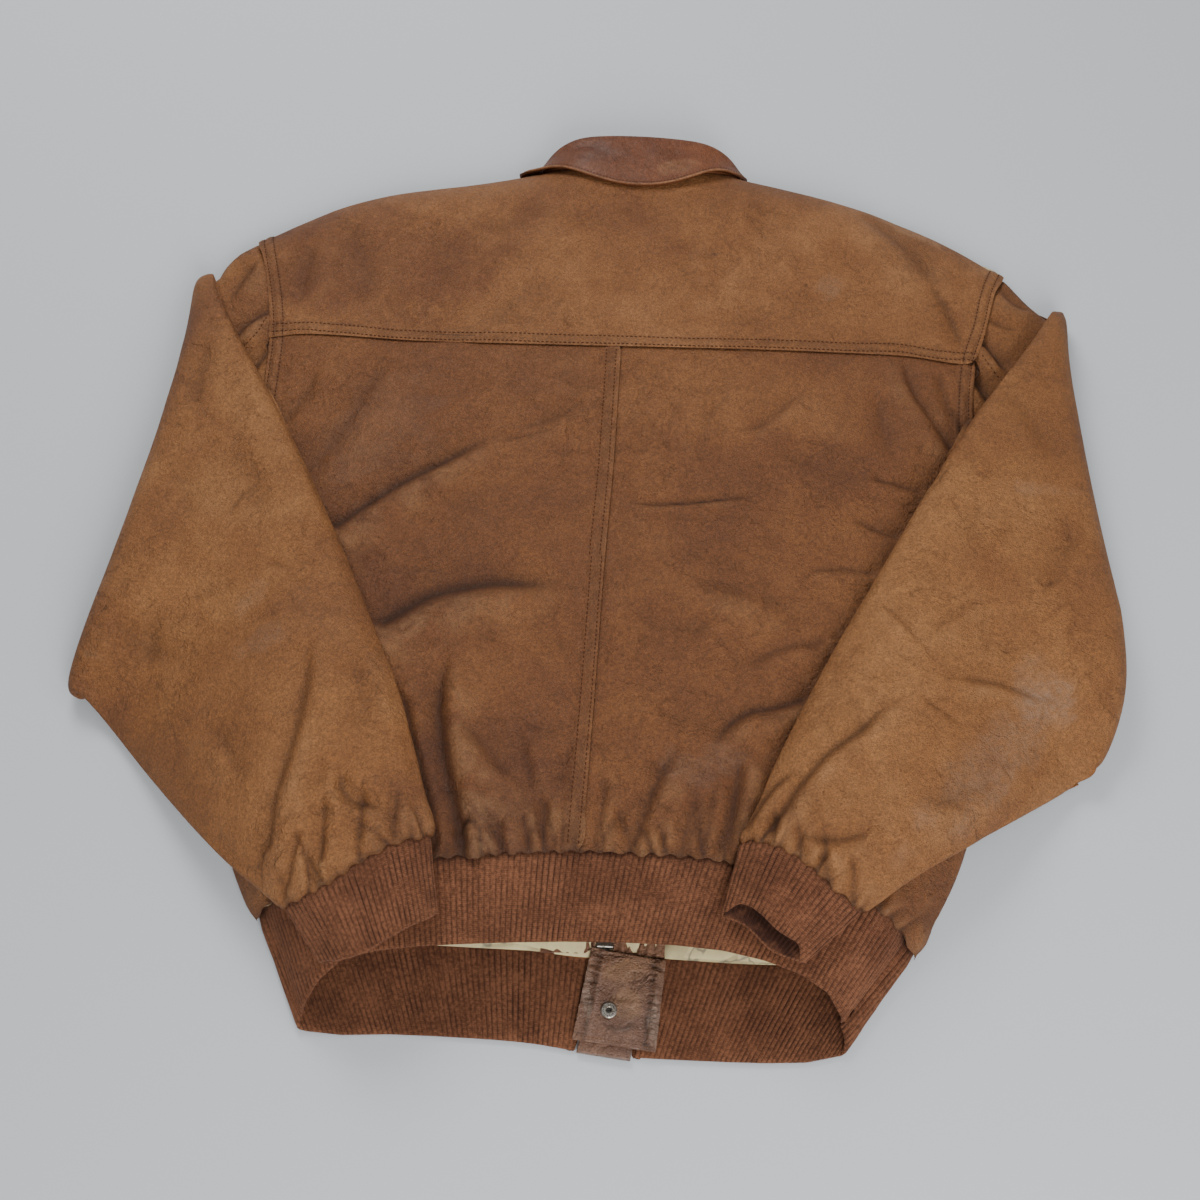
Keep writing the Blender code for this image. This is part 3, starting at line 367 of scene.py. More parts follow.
def skins_of(mesh: Mesh, seen_from: Vector) -> Array:
    """Tells a thin closed wall's outer skin from its inner one.

    Both skins grow from a place where the wall is pierced by a straight line, always over
    the gentlest bend first, and so they meet at the wall's crisp edge.

    Args:
        mesh: The wall.
        seen_from: A point from which the outer skin is met first, straight below it, or
            straight above it where the point lies under the floor.

    Returns:
        OUTER, INNER or EDGE for each face.
    """
    tree = BVHTree.FromPolygons([v.co for v in mesh.vertices], [f.vertices[:] for f in mesh.polygons])
    way = Vector((0, 0, -1 if seen_from.z > 0 else 1))
    place, _, outer, _ = tree.ray_cast(seen_from, way)
    inner = tree.ray_cast(place + way * 0.01 * MM, way)[2]
    work = bmesh.new()
    work.from_mesh(mesh)
    work.faces.ensure_lookup_table()
    owner: dict[int, bool] = {}
    front = [(0.0, outer, True), (0.0, inner, False)]
    while front:
        bend, index, is_outer = heapq.heappop(front)
        if index in owner:
            continue
        owner[index] = is_outer
        for edge in work.faces[index].edges:
            for other in edge.link_faces:
                sharpest_yet = max(bend, edge.calc_face_angle(math.pi))
                if other.index not in owner and sharpest_yet < SHARP:
                    heapq.heappush(front, (sharpest_yet, other.index, is_outer))
    work.free()
    codes = {True: Skin.OUTER.value, False: Skin.INNER.value, None: Skin.EDGE.value}
    return np.array([codes[owner.get(i)] for i in range(len(mesh.polygons))], np.int32)


def above_top(mesh: Mesh) -> Vector:
    """Returns a point high above the highest face that looks up."""
    faces = [f for f in mesh.polygons if f.normal.z > 0.7]
    top = max(faces, key=lambda f: f.center.z).center
    return Vector((top.x, top.y, 0.3))


def border_loops(mesh: Mesh, faces: set[int]) -> list[Array]:
    """Chains the border of a set of faces into closed loops.

    Args:
        mesh: The mesh.
        faces: Indices of the faces.

    Returns:
        Each loop's points in order, the longest loop first.
    """
    work = bmesh.new()
    work.from_mesh(mesh)
    following: dict[int, list[int]] = {}
    for edge in work.edges:
        if sum(f.index in faces for f in edge.link_faces) == 1:
            a, b = edge.verts[0].index, edge.verts[1].index
            following.setdefault(a, []).append(b)
            following.setdefault(b, []).append(a)
    work.verts.ensure_lookup_table()
    loops = []
    while following:
        start = next(iter(following))
        chain, here = [start], start
        while following.get(here):
            there = following[here].pop()
            following[there].remove(here)
            if not following[here]:
                del following[here]
            if there == start:
                break
            chain.append(there)
            here = there
        following = {k: v for k, v in following.items() if v}
        loops.append(np.array([work.verts[i].co[:] for i in chain]))
    work.free()
    return sorted(loops, key=lambda p: -along_curve(np.vstack([p, p[:1]]))[-1])


# ---- finishes


class Graph:
    """The nodes of one material or group, added in reading order."""

    def __init__(self, tree: Tree) -> None:
        """Starts on a node tree."""
        self.tree = tree

    def add(self, kind: str, inputs: dict | None = None, **settings: object) -> Node:
        """Adds a node.

        Args:
            kind: The node's type name.
            inputs: Socket names or numbers, each with a socket to link or a value to set.
            settings: The node's own settings.

        Returns:
            The node.
        """
        node = self.tree.nodes.new(kind)
        for key, value in settings.items():
            setattr(node, key, value)
        self.feed(node, inputs or {})
        return node

    def feed(self, node: Node, inputs: dict) -> None:
        """Links a socket, or sets a value, at each of a node's named or numbered inputs."""
        for key, value in inputs.items():
            if isinstance(value, Socket):
                self.tree.links.new(value, node.inputs[key])
            else:
                node.inputs[key].default_value = value

    def math(self, how: str, first: object, second: object = 0.0, clamp: bool = False) -> Socket:
        """Adds a sum of two values and returns its result."""
        return self.add("ShaderNodeMath", {0: first, 1: second}, operation=how, use_clamp=clamp).outputs[0]

    def times(self, first: object, second: object, clamp: bool = False) -> Socket:
        """Multiplies two values."""
        return self.math("MULTIPLY", first, second, clamp)

    def plus(self, first: object, second: object) -> Socket:
        """Adds two values."""
        return self.math("ADD", first, second)

    def wave(self, value: object) -> Socket:
        """Returns the height of a row of round ribs, one for each pi."""
        return self.math("ABSOLUTE", self.math("SINE", value))

    def mix(self, share: object, first: object, second: object, how: str = "MIX") -> Socket:
        """Mixes two colours and returns the result."""
        return self.add("ShaderNodeMix", {0: share, 6: first, 7: second}, data_type="RGBA", blend_type=how,
                        clamp_factor=True).outputs[2]

    def shaded(self, colour: Socket, value: Socket) -> Socket:
        """Returns a colour times a value."""
        grey = self.add("ShaderNodeCombineColor", {0: value, 1: value, 2: value}).outputs[0]
        return self.mix(1.0, colour, grey, "MULTIPLY")

    def noise(self, place: Socket, scale: float, detail: float = 3.0, rough: float = 0.55,
              bend: float = 0.0) -> Socket:
        """Adds noise and returns its value."""
        node = self.add("ShaderNodeTexNoise", {"Vector": place, "Scale": scale, "Detail": detail,
                                               "Roughness": rough, "Distortion": bend})
        return node.outputs["Fac"]

    def spread(self, value: Socket, low: float, high: float, to_low: float = 0.0,
               to_high: float = 1.0) -> Socket:
        """Stretches the range from low to high, softly and with clamped ends."""
        node = self.add("ShaderNodeMapRange", {"Value": value, "From Min": low, "From Max": high,
                                               "To Min": to_low, "To Max": to_high},
                        interpolation_type="SMOOTHSTEP")
        return node.outputs["Result"]

    def group(self, name: str, inputs: dict) -> Sockets:
        """Adds a node group, made the first time that it is asked for, and returns its outputs."""
        tree = bpy.data.node_groups.get(name) or GROUP_MAKERS[name]()
        return self.add("ShaderNodeGroup", inputs, node_tree=tree).outputs

    def place(self) -> Socket:
        """Reads the place on the piece."""
        return self.add("ShaderNodeTexCoord").outputs["Object"]

    def mask(self, name: str) -> Socket:
        """Reads a value that is stored on the piece's points."""
        return self.add("ShaderNodeAttribute", attribute_name=name, attribute_type="GEOMETRY").outputs["Fac"]


# What a hide's finish reads from its points: tone, grime with painted shade, wear with painted highlights,
# and grey wear with painted sheen.
MASKS = ("tint", "hollow", "rub", "grey")


def rgba(colour: Colour) -> tuple[float, float, float, float]:
    """Adds full opacity to a colour."""
    return (*colour, 1.0)


def new_group(name: str, inputs: dict[str, str], outputs: dict[str, str]) -> tuple[Graph, Sockets, Node]:
    """Starts a shader node group.

    Args:
        name: The group's name.
        inputs: What goes in: the kind of socket for each list of names.
        outputs: What comes out.

    Returns:
        The group's graph, the sockets of what goes in, and the node that puts out the rest.
    """
    graph = Graph(bpy.data.node_groups.new(name, "ShaderNodeTree"))
    for way, sockets in (("INPUT", inputs), ("OUTPUT", outputs)):
        for labels, kind in sockets.items():
            for label in labels.split():
                graph.tree.interface.new_socket(name=label, in_out=way, socket_type=f"NodeSocket{kind}")
    return graph, graph.add("NodeGroupInput").outputs, graph.add("NodeGroupOutput")


def mottle_group() -> Tree:
    """Uneven colour of aged hide: broad cloudy patches, small blotches and fine specks; darker with grime and
    painted shade, lighter with wear and painted highlights, and greyer with wear and painted sheen.
    """
    g, given, out = new_group(
        "hide_mottle",
        {"Vector": "Vector", "Light Middle Dark": "Color", "Tint Hollow Rub Grey": "Float"},
        {"Color": "Color", "Dryness": "Float"})
    place = given["Vector"]
    broad = g.noise(place, 7.0, 2.0, 0.5, 0.4)
    blotch = g.noise(place, 24.0, 3.0, 0.55, 0.8)
    speck = g.noise(place, 260.0, 3.0, 0.6)
    cloud = g.plus(g.times(broad, 0.65), g.times(blotch, 0.35))
    cloud = g.plus(cloud, g.times(given["Tint"], 0.07))
    low = g.spread(cloud, 0.22, 0.56)
    high = g.spread(cloud, 0.46, 0.80)
    colour = g.mix(low, given["Dark"], given["Middle"])
    colour = g.mix(high, colour, given["Light"])
    grit = g.noise(place, 620.0, 3.0, 0.75)
    fine = g.times(g.spread(speck, 0.32, 0.70, 0.90, 1.08), g.spread(grit, 0.30, 0.70, 0.70, 1.30))
    colour = g.shaded(colour, fine)
    # Grime and painted shade: near-black in creases and pleats, along seams and under lapped edges.
    hollow = g.times(given["Hollow"], 0.95, True)
    colour = g.mix(hollow, colour, g.mix(0.80, colour, rgba((0.030, 0.010, 0.004))))
    scuff = g.spread(g.noise(place, 75.0, 5.0, 0.75, 2.0), 0.40, 0.62)
    # Lighter where the hide is worn, and painted highlights on raised crests.
    worn_and_lit = g.times(given["Rub"], g.plus(g.times(scuff, 0.6), 0.4), True)
    colour = g.mix(g.times(worn_and_lit, 0.55), colour, rgba((0.62, 0.36, 0.17)))
    grey = g.times(given["Grey"], g.plus(g.times(scuff, 0.65), 0.35), True)
    colour = g.mix(grey, colour, rgba((0.33, 0.25, 0.19)))
    dry = g.plus(g.times(scuff, 0.08), g.times(speck, 0.10))
    g.feed(out, {"Color": colour, "Dryness": g.plus(dry, g.times(given["Rub"], -0.06))})
    return g.tree


def grain_group() -> Tree:
    """Relief of hide: pores, fine pebbling, and the web of fine wrinkles of worn leather."""
    g, given, out = new_group("hide_grain", {"Vector": "Vector", "Pebble Wrinkle": "Float"},
                              {"Height Cracks": "Float"})
    place = given["Vector"]
    drift = g.add("ShaderNodeTexNoise", {"Vector": place, "Scale": 60.0, "Detail": 2.0}).outputs["Color"]
    drift = g.add("ShaderNodeVectorMath", {0: drift, 1: (0.5, 0.5, 0.5)}, operation="SUBTRACT").outputs[0]
    drift = g.add("ShaderNodeVectorMath", {0: drift, "Scale": 0.012}, operation="SCALE").outputs[0]
    bent = g.add("ShaderNodeVectorMath", {0: place, 1: drift}, operation="ADD").outputs[0]
    cells = g.add("ShaderNodeTexVoronoi", {"Vector": place, "Scale": 640.0, "Randomness": 1.0},
                  feature="DISTANCE_TO_EDGE")
    pebble = g.spread(cells.outputs["Distance"], 0.0, 0.30)
    lumps = g.noise(place, 120.0, 4.0, 0.6, 0.6)
    folds = g.noise(place, 34.0, 3.0, 0.5, 0.8)
    ridges = []
    for scale, detail in ((26.0, 5.0), (75.0, 4.0)):
        ridged = g.add(
            "ShaderNodeTexNoise", {"Vector": bent, "Scale": scale, "Detail": detail, "Roughness": 0.62,
                                   "Lacunarity": 2.1, "Offset": 0.95, "Gain": 1.6},
            noise_type="RIDGED_MULTIFRACTAL", normalize=False)
        ridges.append(g.spread(ridged.outputs[0], 1.25, 1.9))
    worn = g.spread(g.noise(place, 13.0, 2.0, 0.5, 0.5), 0.35, 0.65, 0.35, 1.0)
    lines = g.times(g.plus(ridges[0], g.times(ridges[1], 0.6)), worn)
    height = g.times(pebble, g.times(given["Pebble"], 0.35))
    height = g.plus(height, g.times(lumps, 1.2))
    height = g.plus(height, g.times(folds, g.times(given["Wrinkle"], 2.0)))
    height = g.math("SUBTRACT", height, g.times(lines, given["Wrinkle"]))
    g.feed(out, {"Height": height, "Cracks": g.times(lines, 1.0, True)})
    return g.tree


def knit_group() -> Tree:
    """Loops of fine rib knit, read from a map whose U runs round the band and V along its ribs."""
    g, given, out = new_group("knit_loops", {"UV Place": "Vector", "Light Dark": "Color", "Valley_shade": "Float"},
                              {"Color": "Color", "Height": "Float"})
    parts = g.add("ShaderNodeSeparateXYZ", {0: given["UV"]}).outputs
    across = g.wave(g.times(parts[0], math.pi / LOOP_WIDTH))
    slanted = g.plus(parts[1], g.times(across, 0.0006))
    loops = g.wave(g.times(slanted, math.pi / LOOP_HEIGHT))
    fuzz = g.noise(given["Place"], 480.0, 3.0, 0.75)
    patch = g.noise(given["Place"], 30.0, 4.0, 0.6)
    uneven = g.spread(g.noise(given["Place"], 70.0, 2.0, 0.5), 0.35, 0.65, 0.55, 1.35)
    height = g.plus(g.times(across, 0.5), g.times(loops, 0.6))
    height = g.plus(height, g.times(fuzz, 0.5))
    shade = g.times(g.spread(loops, 0.0, 0.9, 0.66, 1.10), g.spread(fuzz, 0.3, 0.7, 0.60, 1.40))
    colour = g.mix(g.spread(patch, 0.35, 0.65), given["Dark"], given["Light"])
    colour = g.shaded(colour, shade)
    # Painted shade where the mask says: in the valleys between ribs, along the seam under the hide, and
    # inside a cuff's mouth.
    dark = g.times(given["Valley_shade"], uneven, True)
    colour = g.mix(dark, colour, g.mix(0.88, colour, rgba((0.02, 0.006, 0.004))))
    g.feed(out, {"Color": colour, "Height": height})
    return g.tree


def weave_group() -> Tree:
    """Diagonal ribs of twill, with uneven threads."""
    g, given, out = new_group("twill_weave", {"Vector": "Vector", "Light Dark": "Color", "Pitch": "Float"},
                              {"Color": "Color", "Height": "Float"})
    parts = g.add("ShaderNodeSeparateXYZ", {0: given["Vector"]}).outputs
    slant = g.plus(parts[0], parts[1])
    rib = g.wave(g.times(g.math("DIVIDE", slant, given["Pitch"]), math.pi))
    thread = g.noise(given["Vector"], 700.0, 3.0, 0.7)
    soil = g.noise(given["Vector"], 26.0, 4.0, 0.6)
    colour = g.mix(g.spread(soil, 0.3, 0.7), given["Dark"], given["Light"])
    shade = g.times(g.spread(rib, 0.0, 0.8, 0.80, 1.0), g.spread(thread, 0.3, 0.7, 0.9, 1.06))
    g.feed(out, {"Color": g.shaded(colour, shade), "Height": g.plus(rib, g.times(thread, 0.4))})
    return g.tree


# The knit's loops, in metres.
LOOP_WIDTH = 0.0010
LOOP_HEIGHT = 0.0014


GROUP_MAKERS: dict[str, Callable[[], Tree]] = {
    "hide_mottle": mottle_group,
    "hide_grain": grain_group,
    "knit_loops": knit_group,
    "twill_weave": weave_group,
}


@dataclass(frozen=True)
class Finish:
    """What every finish has: its name and the record's slot that it is a finish of."""

    name: str
    slot: str

    def material(self) -> bpy.types.Material:
        """Returns the finish's material, made the first time that it is asked for."""
        made = bpy.data.materials.get(self.name)
        if made is None:
            made = bpy.data.materials.new(self.name)
            made.use_nodes = True
            self.dress(Graph(made.node_tree), made.node_tree.nodes["Principled BSDF"])
        return made

    def dress(self, graph: Graph, shader: Node) -> None:
        """Adds the finish's nodes before its shader."""
        raise NotImplementedError

    @staticmethod
    def relief(graph: Graph, height: Socket, depth: float) -> Socket:
        """Returns normals bent by a height, depth metres for each unit."""
        bump = graph.add("ShaderNodeBump", {"Height": height, "Distance": depth, "Strength": 1.0})
        return bump.outputs["Normal"]


@dataclass(frozen=True)
class Leather(Finish):
    """Aged garment leather."""

    light: Colour
    middle: Colour
    dark: Colour
    roughness: float
    pebble: float = 1.0
    wrinkle: float = 1.0
    depth: float = 0.0009
    coat: float = 0.0

    def dress(self, graph: Graph, shader: Node) -> None:
        """Mottled, worn and creased hide over a fine relief, with painted shade in its creases and painted
        highlights on its crests.
        """
        place = graph.place()
        colours = {"Light": rgba(self.light), "Middle": rgba(self.middle), "Dark": rgba(self.dark)}
        masks = {name.capitalize(): graph.mask(name) for name in MASKS}
        mottle = graph.group("hide_mottle", {"Vector": place, **colours, **masks})
        grain = graph.group("hide_grain", {"Vector": place, "Pebble": self.pebble, "Wrinkle": self.wrinkle})
        lines = graph.times(grain["Cracks"], 0.16 * self.wrinkle)
        graph.feed(shader, {
            "Base Color": graph.mix(lines, mottle["Color"], rgba((0.05, 0.018, 0.008))),
            "Roughness": graph.plus(mottle["Dryness"], self.roughness), "Specular IOR Level": 0.32,
            "Coat Weight": self.coat, "Coat Roughness": 0.28,
            "Normal": self.relief(graph, grain["Height"], self.depth)})


@dataclass(frozen=True)
class Knit(Finish):
    """Rib knit."""

    light: Colour
    dark: Colour

    def dress(self, graph: Graph, shader: Node) -> None:
        """Loops in ribs, with shade painted into the valleys between them."""
        coords = graph.add("ShaderNodeTexCoord").outputs
        loops = graph.group("knit_loops", {
            "UV": coords["UV"], "Place": coords["Object"], "Light": rgba(self.light), "Dark": rgba(self.dark),
            "Valley_shade": graph.mask("valley")})
        graph.feed(shader, {
            "Base Color": loops["Color"], "Roughness": 0.92, "Specular IOR Level": 0.2, "Sheen Weight": 0.25,
            "Sheen Roughness": 0.45, "Sheen Tint": rgba((0.55, 0.30, 0.20)),
            "Normal": self.relief(graph, loops["Height"], 0.00035)})


@dataclass(frozen=True)
class Twill(Finish):
    """Woven cloth with diagonal ribs."""

    light: Colour
    dark: Colour
    pitch: float
    veins: bool = False

    def dress(self, graph: Graph, shader: Node) -> None:
        """Twill, with wandering grey veins where the cloth is printed."""
        place = graph.place()
        weave = graph.group("twill_weave", {
            "Vector": place, "Light": rgba(self.light), "Dark": rgba(self.dark), "Pitch": self.pitch})
        colour = weave["Color"]
        if self.veins:
            drawn = graph.noise(place, 21.0, 3.0, 0.5, 0.4)
            vein = graph.math("ABSOLUTE", graph.math("SUBTRACT", drawn, 0.5))
            line = graph.spread(vein, 0.0, 0.010, 0.75, 0.0)
            colour = graph.mix(line, colour, rgba((0.16, 0.14, 0.11)))
        graph.feed(shader, {"Base Color": colour, "Roughness": 0.75, "Sheen Weight": 0.15,
                            "Normal": self.relief(graph, weave["Height"], 0.00018)})


@dataclass(frozen=True)
class Metal(Finish):
    """Worn steel of zip and snap."""

    clean: Colour
    soiled: Colour
    roughness: float

    def dress(self, graph: Graph, shader: Node) -> None:
        """Steel with tarnish in blotches and fine scratches."""
        place = graph.place()
        blotch = graph.noise(place, 420.0, 4.0, 0.65, 0.5)
        scratch = graph.noise(place, 2600.0, 2.0, 0.5, 0.0)
        tarnish = graph.spread(blotch, 0.42, 0.66)
        graph.feed(shader, {
            "Base Color": graph.mix(tarnish, rgba(self.clean), rgba(self.soiled)),
            "Roughness": graph.plus(graph.times(tarnish, 0.25), self.roughness), "Metallic": 1.0,
            "Normal": self.relief(graph, scratch, 0.00005)})


@dataclass(frozen=True)
class Thread(Finish):
    """Sewing thread."""

    colour: Colour

    def dress(self, graph: Graph, shader: Node) -> None:
        """Thread with uneven twist."""
        place = graph.place()
        twist = graph.noise(place, 1400.0, 2.0, 0.6, 0.0)
        lighter = tuple(min(1.0, c * 1.7) for c in self.colour)
        graph.feed(shader, {
            "Base Color": graph.mix(twist, rgba(self.colour), rgba(lighter)), "Roughness": 0.8,
            "Specular IOR Level": 0.08, "Normal": self.relief(graph, twist, 0.0001)})


SLEEVE_LEATHER = Leather("sleeve_hide", "sleeve_leather", (0.305, 0.136, 0.046), (0.22, 0.087, 0.026),
                         (0.138, 0.051, 0.019), roughness=0.58)
BODY_LEATHER = Leather("body_hide", "body_leather", (0.222, 0.088, 0.028), (0.162, 0.059, 0.018),
                       (0.104, 0.036, 0.014), roughness=0.56)
YOKE_LEATHER = Leather("yoke_hide", "body_leather", (0.305, 0.134, 0.049), (0.21, 0.082, 0.025),
                       (0.134, 0.046, 0.015), roughness=0.56, wrinkle=0.9)
COLLAR_LEATHER = Leather("collar_hide", "collar_leather", (0.225, 0.076, 0.027), (0.148, 0.044, 0.013),
                         (0.086, 0.022, 0.007), roughness=0.44, pebble=0.7, wrinkle=0.7, coat=0.08)
# The collar's rolled edge in lighter leather: a painted highlight along the edge.
LIT_BEAD_LEATHER = Leather("lit_bead_hide", "collar_leather", (0.4, 0.2, 0.09), (0.28, 0.125, 0.055),
                       (0.16, 0.06, 0.025), roughness=0.42)
FACING_LEATHER = Leather("facing_hide", "collar_leather", (0.34, 0.185, 0.105), (0.215, 0.096, 0.055),
                         (0.115, 0.046, 0.026), roughness=0.36, wrinkle=1.2, coat=0.1)
TAB_LEATHER = Leather("tab_hide", "tab_leather", (0.29, 0.15, 0.078), (0.17, 0.086, 0.052),
                      (0.08, 0.04, 0.028), roughness=0.3, pebble=0.7, wrinkle=1.3, coat=0.4)
RIB_KNIT = Knit("rib_knit_cloth", "rib_knit", (0.18, 0.071, 0.034), (0.125, 0.047, 0.022))
LINING = Twill("lining_cloth", "lining_twill", (0.76, 0.64, 0.33), (0.58, 0.47, 0.26), pitch=0.0016,
               veins=True)
TAPE = Twill("tape_cloth", "zip_tape", (0.09, 0.045, 0.025), (0.055, 0.028, 0.016), pitch=0.0009)
STEEL = Metal("worn_steel", "steel", (0.52, 0.48, 0.42), (0.15, 0.12, 0.09), roughness=0.34)
# Dark steel for the snap's beads, and for the dark disc that paints the shade in the snap's hole.
DARK_STEEL_AND_HOLE_SHADE = Metal("dark_steel_and_hole_shade", "steel", (0.1, 0.09, 0.08), (0.03, 0.025, 0.02), roughness=0.5)
BODY_THREAD = Thread("body_thread", "body_leather", (0.05, 0.018, 0.009))
SLEEVE_THREAD = Thread("sleeve_thread", "sleeve_leather", (0.06, 0.022, 0.01))
COLLAR_THREAD = Thread("collar_thread", "collar_leather", (0.1, 0.04, 0.02))
TAB_THREAD = Thread("tab_thread", "tab_leather", (0.1, 0.045, 0.022))


# ---- creases


def beside_and_right(plan: Array, line: Line) -> tuple[NearLine, Array]:
    """Returns where plan points lie beside a line, and the way to the line's right at each."""
    curve = dense(line)
    near = near_line(plan, curve)
    spans = np.searchsorted(along_curve(curve)[1:-1], near.along)
    way = unit(np.diff(curve, axis=0)[spans])
    return near, np.stack([way[:, 1], -way[:, 0]], 1)


@dataclass(frozen=True)
class Fold:
    """A crease that lies in cloth along a line on the plan.

    Attributes:
        line: The crease's points.
        width: Half width of the trough.
        depth: How far the trough sinks; a negative depth raises a ridge.
        roll: Height of the soft roll of cloth beside the trough, on its lower right side.
        soil_and_shade: How dark the trough's bottom is painted, from 0 to 1: grime, and painted shade.
        ends: Which of its ends come out from under something.
    """

    line: Line
    width: float
    depth: float
    roll: float
    soil_and_shade: float
    ends: Ends = Ends.NEITHER

    def shape(self, plan: Array) -> Arrays:
        """Works out the crease's relief.

        Args:
            plan: Plan points, in millimetres.

        Returns:
            Each point's rise, in millimetres, and how dark it is painted: grime and painted shade.
        """
        curve = dense(self.line)
        reach = 5.0 * self.width
        inside = ((plan >= curve.min(0) - reach) & (plan <= curve.max(0) + reach)).all(1)
        rise, soil_and_shade = np.zeros(len(plan)), np.zeros(len(plan))
        if not inside.any():
            return rise, soil_and_shade
        near = near_line(plan[inside], curve)
        start = 1.0 if self.ends in (Ends.FIRST, Ends.BOTH) else smooth_step(near.share / 0.3)
        end = 1.0 if self.ends in (Ends.LAST, Ends.BOTH) else smooth_step((1 - near.share) / 0.35)
        taper = start * end
        wide = self.width * (0.55 + 0.45 * taper)
        way = curve[-1] - curve[0]
        side = 1.0 if -0.45 * way[1] - way[0] > 0 else -1.0
        steep = np.where(side * near.beside > 0, 0.60, 1.3)
        trough = np.exp(-np.abs(near.beside / (steep * wide)) ** 1.6)
        roll = (abs(self.roll) + 0.15 * self.depth) * bell((side * near.beside - 1.7 * wide) / (1.4 * wide))
        rise[inside] = 1.35 * taper * (roll - self.depth * trough)
        # Painted shade: the trough is darkened, more for a deeper crease, and its bottom gets a dark line of
        # grime and painted shade.
        shade = min(0.45, 0.09 * max(self.depth, 0.0)) * trough
        soil_and_shade[inside] = taper * (self.soil_and_shade * bell(near.beside / (0.42 * wide)) + shade)
        return rise, soil_and_shade


@dataclass(frozen=True)
class Gather:
    """Cloth drawn together along a seam, in uneven pleats that run away from it.

    Attributes:
        line: The seam, with the gathered cloth on its left.
        height: How high the pleats stand at the seam.
        pitch: Their usual distance.
        reach: How far they run into the cloth.
        puff: How far the cloth swells just beyond the seam.
        seed: Changes the pleats' places.
        over: How far the cloth hangs over the knit beyond the seam.
    """

    line: Line
    height: float
    pitch: float
    reach: float
    puff: float
    seed: int
    over: float = 3.0

    def shape(self, plan: Array) -> Arrays:
        """Works out the pleats' relief.

        Args:
            plan: Plan points, in millimetres.

        Returns:
            Each point's rise, in millimetres, and how dark it is painted: grime and painted shade.
        """
        curve = dense(self.line)
        rise, soil_and_shade = np.zeros(len(plan)), np.zeros(len(plan))
        near = near_line(plan, curve)
        inside = np.abs(near.beside) < 3.2 * self.reach
        if not inside.any():
            return rise, soil_and_shade
        beside, along = np.maximum(near.beside[inside], 0.0), near.along[inside]
        rng = np.random.default_rng(self.seed)
        length = along_curve(curve)[-1]
        count = max(2, int(length / self.pitch))
        places = (np.arange(count) + rng.uniform(-0.2, 1.2, count)) * length / count
        lift, line = np.zeros(len(beside)), np.zeros(len(beside))
        for place in places:
            lean, size = rng.uniform(-0.55, 0.55), rng.uniform(0.3, 1.4)
            wide, far = self.pitch * rng.uniform(0.12, 0.26), self.reach * rng.uniform(0.3, 1.5)
            bent = place + lean * beside + rng.uniform(-0.012, 0.012) * beside ** 2
            across = (along - bent) / (wide * (1 + 0.7 * beside / self.reach))
            across = np.where(across * lean > 0, across * 0.55, across * 1.3)
            fade = size * np.exp(-(beside / far) ** 1.5)
            lift -= self.height * fade * (bell(across) - 0.35 * bell((np.abs(across) - 2.0) / 1.2))
            line = np.maximum(line, fade * bell(across * 2.2))
        puff = self.puff * (beside / 9.0) * np.exp(1 - beside / 9.0)
        own = bell(np.minimum(near.beside[inside] + 2.0, 0.0) / 1.5) if self.over == 0.0 else 1.0
        rise[inside] = own * (lift + puff)
        # Painted shade in the pleats' troughs, and a painted shadow line along the seam where the cloth meets
        # the knit.
        shade = 0.35 * np.clip(-lift / self.height, 0, 1) + 0.45 * np.clip(line, 0, 1)
        soil_and_shade[inside] = own * (shade + 0.55 * np.exp(-beside / 1.6))
        return rise, soil_and_shade

    def least(self, plan: Array) -> Array:
        """Returns how high each point lies at least, so that the cloth covers the knit's end."""
        near = near_line(plan, dense(self.line))
        wave = 0.35 * np.sin(near.along / 5.1) + 0.3 * np.sin(near.along / 2.3)
        covers = (np.abs(near.beside) < 30.0) & (self.over > 0.0)
        return np.where(covers, 0.9 + wave - 0.55 * np.maximum(near.beside - 1.5, 0.0), -30.0)

    def slide(self, plan: Array) -> Array:
        """Returns how far each point moves over the knit, more between the pleats than in them."""
        near, right = beside_and_right(plan, self.line)
        drift = 2.0 * np.sin(near.along / 29.0)
        bulge = 1 + 0.35 * np.sin(near.along / self.pitch * 2 * math.pi * 0.8 + drift)
        amount = self.over * bulge * smooth_step((9.0 - near.beside) / 8.0)
        return right * np.where(near.beside > -4.0, amount, 0.0)[:, None]


